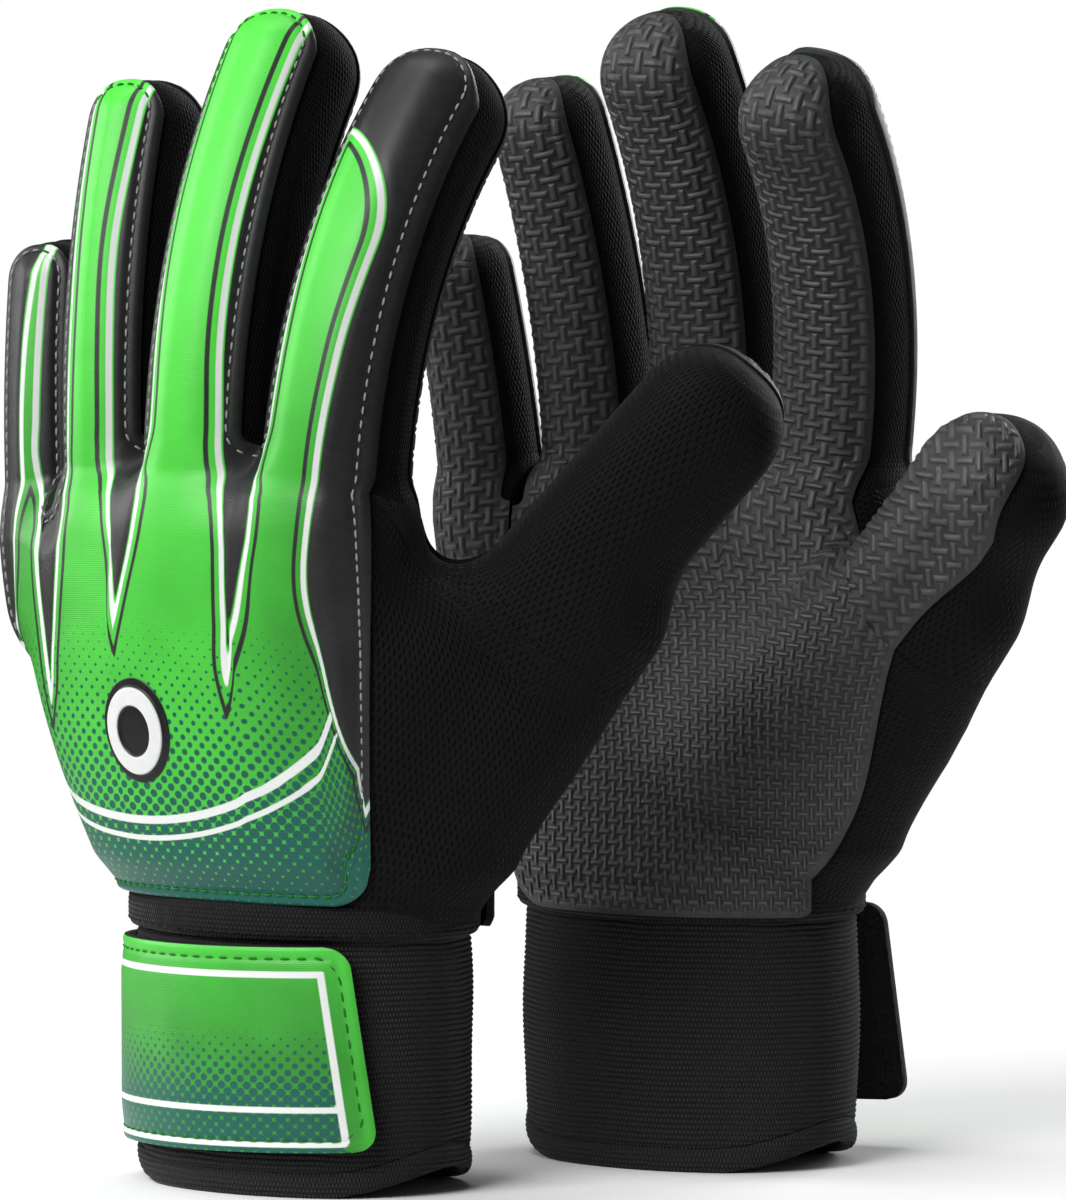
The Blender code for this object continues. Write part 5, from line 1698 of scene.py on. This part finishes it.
class Strap:
    """Wrist strap: printed face, brushed backing, hook tape and the loop tape on the cuff."""

    length = 79.5
    width = 41.0
    base = 8.0
    rise = 2.0
    slant = 5.5
    corner = 4.5
    sewn_angle = -86.0
    lift = {Hand.LEFT: 90.0, Hand.RIGHT: -15.0}
    clearance = 0.3
    tape = 1.1
    sewn = 8.0
    stitch_gap = 0.8
    hook_length = 28.0
    hook_margin = 4.0
    loop_levels = (0.1, 0.75)
    hook_levels = (1.05, 1.6)
    backing_levels = (1.8, 2.8)
    face_levels = (2.9, 4.0)
    inset = 2.3
    stitch_start = 2.0
    stitch_corner = 3.0
    stitch_pitch = 3.2

    def __init__(self, stand: Stand, cuff: Cuff, closed: bool = False) -> None:
        """Draw the strap's inner line round the cuff and on in a straight line, as it stands or closed."""
        self.stand, self.cuff = stand, cuff
        self.line, self.run = self.path(self.lift[Hand.LEFT if closed else stand.hand])

    def path(self, lift: float) -> tuple[Array, Array]:
        """Inner line of the strap and the way along it, leaving the cuff at an angle."""
        angle = np.radians(np.linspace(self.sewn_angle, lift, 200))
        half = np.array(self.cuff.half) + self.clearance
        line = np.stack([half[0] * np.sin(angle), half[1] * np.cos(angle)], axis=-1)
        heading = unit(line[-1] - line[-2])
        line = np.concatenate([line, line[-1] + heading * np.linspace(0.0, self.length, 60)[1:, None]])
        return line, run_length(line)

    def flat(self, start: float, margin: float, rows: int, columns: int) -> Array:
        """Flat places of a layer: along the strap, up from its lower edge, with rounded corners."""
        turn = (1 - np.cos(np.linspace(0.0, math.pi, rows))) / 2
        up = margin + (self.width - 2 * margin) * (0.5 * turn + 0.5 * np.linspace(0.0, 1.0, rows))
        corner = max(self.corner - margin, 1.0)
        near = np.clip(corner - np.minimum(up - margin, self.width - margin - up), 0.0, corner)
        end = self.length - self.slant * up / self.width - margin - (corner - np.sqrt(corner**2 - near**2))
        share = np.linspace(0.0, 1.0, columns)
        along = start + margin * (start > 0) + (end[:, None] - start - margin * (start > 0)) * share
        return np.stack([along, np.broadcast_to(up[:, None], along.shape)], axis=-1)

    def cloth(self, flat: Array, offset: float) -> Cloth:
        """Layer of the strap at an offset from its inner line, sunk to the cuff at the sewn end."""
        line, run = self.line, self.run
        along, up = flat[..., 0], flat[..., 1]
        spot = [np.interp(along, run, line[:, k]) for k in range(2)]
        slope = [np.interp(along + 1, run, line[:, k]) - np.interp(along - 1, run, line[:, k]) for k in range(2)]
        size = np.hypot(*slope)
        out = np.stack([-slope[1] / size, slope[0] / size, 0 * along], axis=-1)
        seat = (2 * self.tape - self.stitch_gap) * (1 - smooth(along, self.sewn, self.length - self.hook_length))
        points = np.stack([*spot, self.base + up + self.rise * along / self.length], axis=-1)
        return Cloth(points + out * (offset - seat)[..., None], out, flat)

    def layer(self, name: str, flat: Array, low: float, high: float, print_values: dict[str, Array] | None,
              facing: float, relief: Array) -> Sewing:
        """Closed sheet: the outer face, the inner face and the rim between them.

        Args:
            name: Name of the piece.
            flat: Flat places.
            low: Level of the inner face over the strap's inner line.
            high: Level of the outer face.
            print_values: Values of a printed outer face, if it has a print.
            facing: 1 where the relief is on the outer face, -1 where it is on the inner one.
            relief: Height of the relief.

        Returns:
            The piece.
        """
        top, under = self.cloth(flat, high), self.cloth(flat, low)
        points = [top.raised(relief), under.points]
        if facing < 0:
            points = [top.points, under.raised(-relief)]
        sewing = Sewing(f"{self.stand.hand.value}_{name}_sewn", self.stand)
        sewing.grid(points[0], top.normals, flat, 0, print_values)
        sewing.grid(points[1], -top.normals, flat, 0 if print_values is None else 2)
        for edge, inner in (((0, slice(None)), (1, slice(None))), ((-1, slice(None)), (-2, slice(None))),
                            ((slice(None), -1), (slice(None), -2)), ((slice(None), 0), (slice(None), 1))):
            strip = np.stack([points[0][edge], points[1][edge]])
            away = unit(points[0][edge] - points[0][inner])
            sewing.grid(strip, np.stack([away, away]), resample_flat(strip[0], strip[1]), 2 if print_values else 0)
        return sewing

    def face(self) -> Sewing:
        """Printed face with a flange, a groove, a puffed field and two rows of stitches."""
        flat = self.flat(0.0, 0.0, 74, 128)
        values = StrapPrint().values(flat, self.length, self.width, self.slant)
        rim = np.minimum(np.minimum(flat[..., 1], self.width - flat[..., 1]),
                         self.length - self.slant * flat[..., 1] / self.width - flat[..., 0])
        groove = 0.3 * np.exp(-((rim - self.inset) / 0.55) ** 2)
        relief = 0.25 * smooth(rim, 0.0, 0.6) - groove + 0.4 * smooth(rim, self.inset, 8.0)
        sewing = self.layer("strap_face", flat, *self.face_levels, values, 1.0, relief)
        cloth = self.cloth(flat, self.face_levels[1])
        low, high, turn = self.inset, self.width - self.inset, self.stitch_corner
        corner = [(self.length - self.inset - self.slant * y / self.width, y) for y in (low + turn, high - turn)]
        path = np.array([(self.stitch_start, low), (corner[0][0] - turn, low), corner[0], corner[1],
                         (corner[1][0] - turn, high), (self.stitch_start, high)])
        spots = resample(path, self.stitch_pitch)
        points, normals = cloth.locate(spots)
        sewing.stitches(points, normals, 2.0, 0.20, 1)
        return sewing

    def backing(self) -> Sewing:
        """Brushed backing with a fuzzy relief."""
        flat = self.flat(0.0, 0.0, 60, 110)
        fuzz = 0.22 * np.sin(flat[..., 0] * 5.1 + 2 * np.sin(flat[..., 1] * 3.3)) * np.sin(flat[..., 1] * 4.3)
        return self.layer("strap_backing", flat, *self.backing_levels, None, -1.0, fuzz)

    def hook(self) -> Sewing:
        """Hook tape under the free end, with rows of small hooks as relief."""
        flat = self.flat(self.length - self.hook_length, self.hook_margin, 54, 40)
        rows = 0.18 * np.sin(flat[..., 0] * 4.6) * np.sin(flat[..., 1] * 4.6)
        return self.layer("strap_hook", flat, *self.hook_levels, None, -1.0, rows)

    def loop(self) -> Sewing:
        """Loop tape on the cuff, under the hook tape of a closed strap."""
        flat = self.flat(self.length - self.hook_length, self.hook_margin, 54, 40)
        fuzz = 0.15 * np.sin(flat[..., 0] * 5.3 + np.sin(flat[..., 1] * 2.1)) * np.sin(flat[..., 1] * 4.9)
        return self.layer("loop_pad", flat, *self.loop_levels, None, 1.0, fuzz)


class Badge:
    """Moulded rubber badge on the back of the hand: a domed dark plate with a raised white ring."""

    place = (-16.5, 91.0)
    half = (9.5, 11.5)
    above = 47.5
    plate = 2.5
    dome = 0.4
    rim_heights = (0.6, 1.9)
    ring = 0.66
    ring_half = 0.17
    ring_rise = 0.65

    def sew(self, form: HandForm, stand: Stand) -> Sewing:
        """Rings of points from the rim inwards, settled on the form and raised by the badge's relief."""
        share = np.concatenate([[1.0, 1.0], np.linspace(0.995, 0.0, 64)])
        angle = np.linspace(0.0, 2 * math.pi, 96, endpoint=False)
        across = self.place[0] + self.half[0] * share[:, None] * np.cos(angle)
        up = self.place[1] + self.half[1] * share[:, None] * np.sin(angle)
        points = form.settle(np.stack([across, np.full_like(across, self.above), up], axis=-1), 0.0, 14)
        normals = unit(form.slope(points))
        ring = smooth(self.ring_half + 0.03 - np.abs(share - self.ring), 0.0, 0.05)
        height = self.plate + self.dome * (1 - share**2) + self.ring_rise * ring
        height[:2] = self.rim_heights
        points = points + normals * height[:, None, None]
        flat = np.stack([across, up], axis=-1)
        sewing = Sewing(f"{stand.hand.value}_badge_sewn", stand)
        white = np.abs(share - self.ring) - self.ring_half
        values = {"white": np.broadcast_to(10.0 * white[:, None], across.shape)}
        sewing.grid(points, normals, flat, values=values, ring=True, pole=True)
        return sewing


class Lining:
    """Thin lining inside the hand, seen through the cuff."""

    inset = 4.6
    wall = 0.8
    angles = (47.0, -235.0)
    heights = (60.8, 127.0)
    radius = 35.0

    def sew(self, form: HandForm, stand: Stand) -> Sewing:
        """Open sleeve inside the hand with soft folds."""
        angle = np.radians(np.linspace(*self.angles, 150))
        z = np.linspace(*self.heights, 70)
        a, height = np.meshgrid(angle, z)
        share, half_width, half_depth, rise = form.section(height)
        shrink = self.inset + 0.25 * np.sin(a * 9.0 + height / 11.0)
        across = form.knuckle_centre * share + (half_width - shrink) * power(np.sin(a))
        depth = rise - form.sag(across, share) + (half_depth - shrink) * power(np.cos(a))
        outer = np.stack([across, depth, height], axis=-1)
        centre = np.stack([form.knuckle_centre * share, rise, height], axis=-1)
        inward = unit(centre - outer)
        sewing = Sewing(f"{stand.hand.value}_lining_sewn", stand)
        flat = np.stack([a * self.radius, height], axis=-1)
        sewing.grid(outer, -inward, flat)
        sewing.grid(outer + inward * self.wall, inward, flat)
        return sewing


class Glove:
    """One glove with all its pieces; all but the stalls' pieces are set on the body that carries them."""

    bend_start = 3.0
    bend_end = 30.0
    panel_fill = 0.6
    strap_fill = 0.4
    finger_knit = (-9.0, 24.0, 3.2)
    thumb_knit = (-10.0, 34.0, 9.0)

    def __init__(self, stand: Stand, finishes: Finishes) -> None:
        """Make the form and the two faces."""
        self.stand, self.finishes = stand, finishes
        self.side = stand.hand.value
        self.form = HandForm(stand.hand)
        self.back = SewnFace(self.form, BACK)
        self.palm = SewnFace(self.form, PALM)
        self.pieces: list[bpy.types.Object] = []

    def carry(self, sewing: Sewing, node: str, materials: list[bpy.types.Material],
              body: str = "hand") -> bpy.types.Object:
        """Finish a piece that moves with one body."""
        piece = self.dress(sewing, node, materials)
        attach(piece, f"{self.side}_{body}")
        return piece

    def dress(self, sewing: Sewing, node: str, materials: list[bpy.types.Material]) -> bpy.types.Object:
        """Finish a piece that takes the place of a node."""
        piece = sewing.finish(materials)
        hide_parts(f"{self.side}_{node}")
        self.pieces.append(piece)
        return piece

    def bend(self, sewing: Sewing, node: str, slot: str, materials: list[bpy.types.Material], digit: str,
             limb: Limb, start: float) -> bpy.types.Object:
        """Finish a piece that runs from the hand onto a stall, with its place fixed into its points."""
        piece = self.dress(sewing, node, materials)
        ends = [limb.frame(np.array(start + reach))[0] for reach in (self.bend_start, self.bend_end)]
        low, high = (tuple(self.stand.world(end).tolist()) for end in ends)
        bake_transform(piece)
        return piece

    def sheet(self, piece: bpy.types.Object) -> None:
        """Read the areas of the faces of a cloth piece's mesh; nothing is done with them."""
        mesh = piece.data
        areas = np.empty(len(mesh.polygons))
        mesh.polygons.foreach_get("area", areas)

    def sew_faces(self) -> None:
        """Printed back and latex palm: the hand's panels and every stall's."""
        for face, word, slot in ((self.back, "back", "printed_back"), (self.palm, "palm", "latex")):
            panels = Panels(face, self.stand, self.finishes)
            sewing = panels.piece(f"{word}_panel", "hand", face.hand, ("left", "right", "foot"), False)
            if panels.back:
                panels.stitch(sewing, face.hand, face.paths["hand"], "hand")
            self.carry(sewing, f"{word}_panel", panels.materials())
            for name, cloth in face.digits.items():
                limb = self.form.thumb if name == "thumb" else self.form.fingers[name]
                start = self.form.thumb_split if name == "thumb" else 0.0
                sewing = panels.piece(f"{name}_{word}", name, cloth, ("left", "right"), True)
                if panels.back:
                    panels.stitch(sewing, cloth, face.paths[name], "stall")
                piece = self.bend(sewing, f"{name}_{word}", slot, panels.materials(), name, limb, start)

    def sew_skin(self) -> None:
        """Knit stalls and sides."""
        skin = Skin(self.form, self.back, self.palm, self.stand)
        f = self.finishes
        for name, limb in self.form.fingers.items():
            sewing = skin.stall(f"{name}_gusset", limb, *self.finger_knit)
            self.bend(sewing, f"{name}_gusset", "fine_knit", [f.gusset], name, limb, 0.0)
        thumb, split = self.form.thumb, self.form.thumb_split
        below, above, most = self.thumb_knit
        sewing = skin.stall("thumb_sleeve", thumb, split + below, split + above, most)
        self.bend(sewing, "thumb_sleeve", "mesh_knit", [f.mesh], "thumb", thumb, split)
        side = skin.thumb_side()
        self.sheet(self.carry(side, "thumb_panel", [f.mesh]))
        outer = skin.outer_side()
        for first, last, top in zip(ACROSS, ACROSS[1:], self.back.spec.slots):
            skin.web(outer, first, last, top)
        self.sheet(self.carry(outer, "outer_panel", [f.mesh]))

    def sew_wrist(self) -> None:
        """Cuff, hem, binding, lining, badge and strap."""
        f = self.finishes
        cuff = Cuff(self.stand)
        self.carry(cuff.elastic(), "cuff", [f.elastic])
        self.carry(cuff.hem(), "cuff_hem", [f.elastic])
        self.carry(cuff.binding(), "wrist_binding", [f.tape, f.black_thread])
        lining = Lining().sew(self.form, self.stand)
        self.sheet(self.carry(lining, "lining", [f.lining]))
        self.carry(Badge().sew(self.form, self.stand), "badge", [f.rubber])
        strap = Strap(self.stand, cuff)
        loop, backing, hook = Strap(self.stand, cuff, closed=True).loop(), strap.backing(), strap.hook()
        self.sheet(self.carry(loop, "loop_pad", [f.fleece]))
        face = self.carry(strap.face(), "strap_face", [f.strap, f.dark_thread, f.raw], "strap")
        piece = self.carry(backing, "strap_backing", [f.fleece], "strap")
        self.sheet(piece)
        piece = self.carry(hook, "strap_hook", [f.hooks], "strap")
        self.sheet(piece)

    def sew(self) -> None:
        """Make every piece."""
        self.sew_faces()
        self.sew_skin()
        self.sew_wrist()
        LOG.info("%s glove: %d pieces", self.side, len(self.pieces))


@dataclass(frozen=True)
class Studio:
    """Plain pale floor, soft light and a long lens."""

    aim: tuple[float, float, float] = (-0.0004, 0.0, 0.1162)
    distance: float = 2.0
    elevation: float = 4.0
    field: float = 0.2432
    sensor: float = 24.0
    floor_half: float = 2.0
    floor_fade: tuple[float, float] = (0.10, 0.40)
    lamp_aim: tuple[float, float, float] = (0.0, 0.0, 0.12)
    sky_light: float = 0.06

    def camera(self) -> None:
        """Long lens that sees the field's height at the aim's distance."""
        data = bpy.data.cameras.new("camera")
        data.sensor_fit = "VERTICAL"
        data.sensor_height = self.sensor
        data.lens = self.sensor * self.distance / self.field
        data.clip_end = 20.0
        camera = bpy.data.objects.new("camera", data)
        angle = math.radians(self.elevation)
        camera.location = (self.aim[0], self.aim[1] - self.distance * math.cos(angle),
                           self.aim[2] + self.distance * math.sin(angle))
        camera.rotation_euler = (math.pi / 2 - angle, 0.0, 0.0)
        bpy.context.scene.collection.objects.link(camera)
        bpy.context.scene.camera = camera

    def floor(self) -> None:
        """Pale floor that takes the gloves' shadow and fades into the white ground with distance."""
        mesh = bpy.data.meshes.new("floor")
        half = self.floor_half
        corners = [(-half, -half, 0), (half, -half, 0), (half, half, 0), (-half, half, 0)]
        mesh.from_pydata(corners, [], [(0, 1, 2, 3)])
        floor = bpy.data.objects.new("floor", mesh)
        bpy.context.scene.collection.objects.link(floor)
        g = Graph("floor")
        place = g.node("ShaderNodeTexCoord").outputs["Object"]
        reach = g.node("ShaderNodeVectorMath", {0: place}, operation="LENGTH").outputs["Value"]
        start, run = self.floor_fade
        fade = g.math("MULTIPLY_ADD", reach, 1 / run, -start / run, clamp=True)
        g.set(Base_Color=(0.97, 0.97, 0.97, 1.0), Roughness=0.9, Specular_IOR_Level=0.1)
        mix = g.node("ShaderNodeMixShader", {0: fade, 1: g.shader.outputs[0]})
        g.plug(mix.inputs[2], g.node("ShaderNodeBsdfTransparent").outputs[0])
        g.plug(g.tree.nodes["Material Output"].inputs[0], mix.outputs[0])
        mesh.materials.append(g.material)

    def light(self) -> None:
        """Large soft lamps: a strong key from the upper left front, a weak fill, a top lamp and two rims."""
        lamps = (
            ("key", (-1.20, -1.40, 1.45), 1.5, 58.0),
            ("fill", (1.5, -1.3, 0.6), 1.4, 0.7),
            ("top", (-0.2, 0.3, 1.9), 1.2, 13.0),
            ("right_rim", (1.0, 1.25, 0.65), 1.0, 18.0),
            ("left_rim", (-1.5, 0.5, 0.6), 1.0, 14.0),
        )
        for name, place, size, watts in lamps:
            data = bpy.data.lights.new(name, "AREA")
            data.shape = "SQUARE"
            data.size = size
            data.energy = watts
            lamp = bpy.data.objects.new(name, data)
            lamp.location = place
            way = np.array(self.lamp_aim) - np.array(place)
            flat = math.hypot(way[0], way[1])
            lamp.rotation_euler = (math.atan2(flat, -way[2]), 0.0, math.atan2(-way[0], way[1]))
            bpy.context.scene.collection.objects.link(lamp)

    def sky(self) -> None:
        """White ground for the camera, grey light for everything else."""
        world = bpy.data.worlds.new("studio")
        bpy.context.scene.world = world
        world.use_nodes = True
        tree = world.node_tree
        lit, seen = tree.nodes["Background"], tree.nodes.new("ShaderNodeBackground")
        for ground, strength in ((lit, self.sky_light), (seen, 1.0)):
            ground.inputs["Color"].default_value = (1.0, 1.0, 1.0, 1.0)
            ground.inputs["Strength"].default_value = strength
        path = tree.nodes.new("ShaderNodeLightPath")
        mix = tree.nodes.new("ShaderNodeMixShader")
        tree.links.new(path.outputs["Is Camera Ray"], mix.inputs[0])
        tree.links.new(lit.outputs[0], mix.inputs[1])
        tree.links.new(seen.outputs[0], mix.inputs[2])
        tree.links.new(mix.outputs[0], tree.nodes["World Output"].inputs[0])

    def build(self) -> None:
        """Set the whole studio."""
        self.camera()
        self.floor()
        self.light()
        self.sky()
        bpy.context.scene.view_settings.view_transform = "Standard"


def main() -> None:
    """Load the frame, dress both gloves and set the studio."""
    logging.basicConfig(level=logging.INFO, format="%(message)s")
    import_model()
    finishes = Finishes()
    for hand, place in ((Hand.LEFT, (-46.57, -17.07)), (Hand.RIGHT, (32.03, 22.93))):
        Glove(Stand(hand, place), finishes).sew()
    Studio().build()


if __name__ == "__main__":
    main()
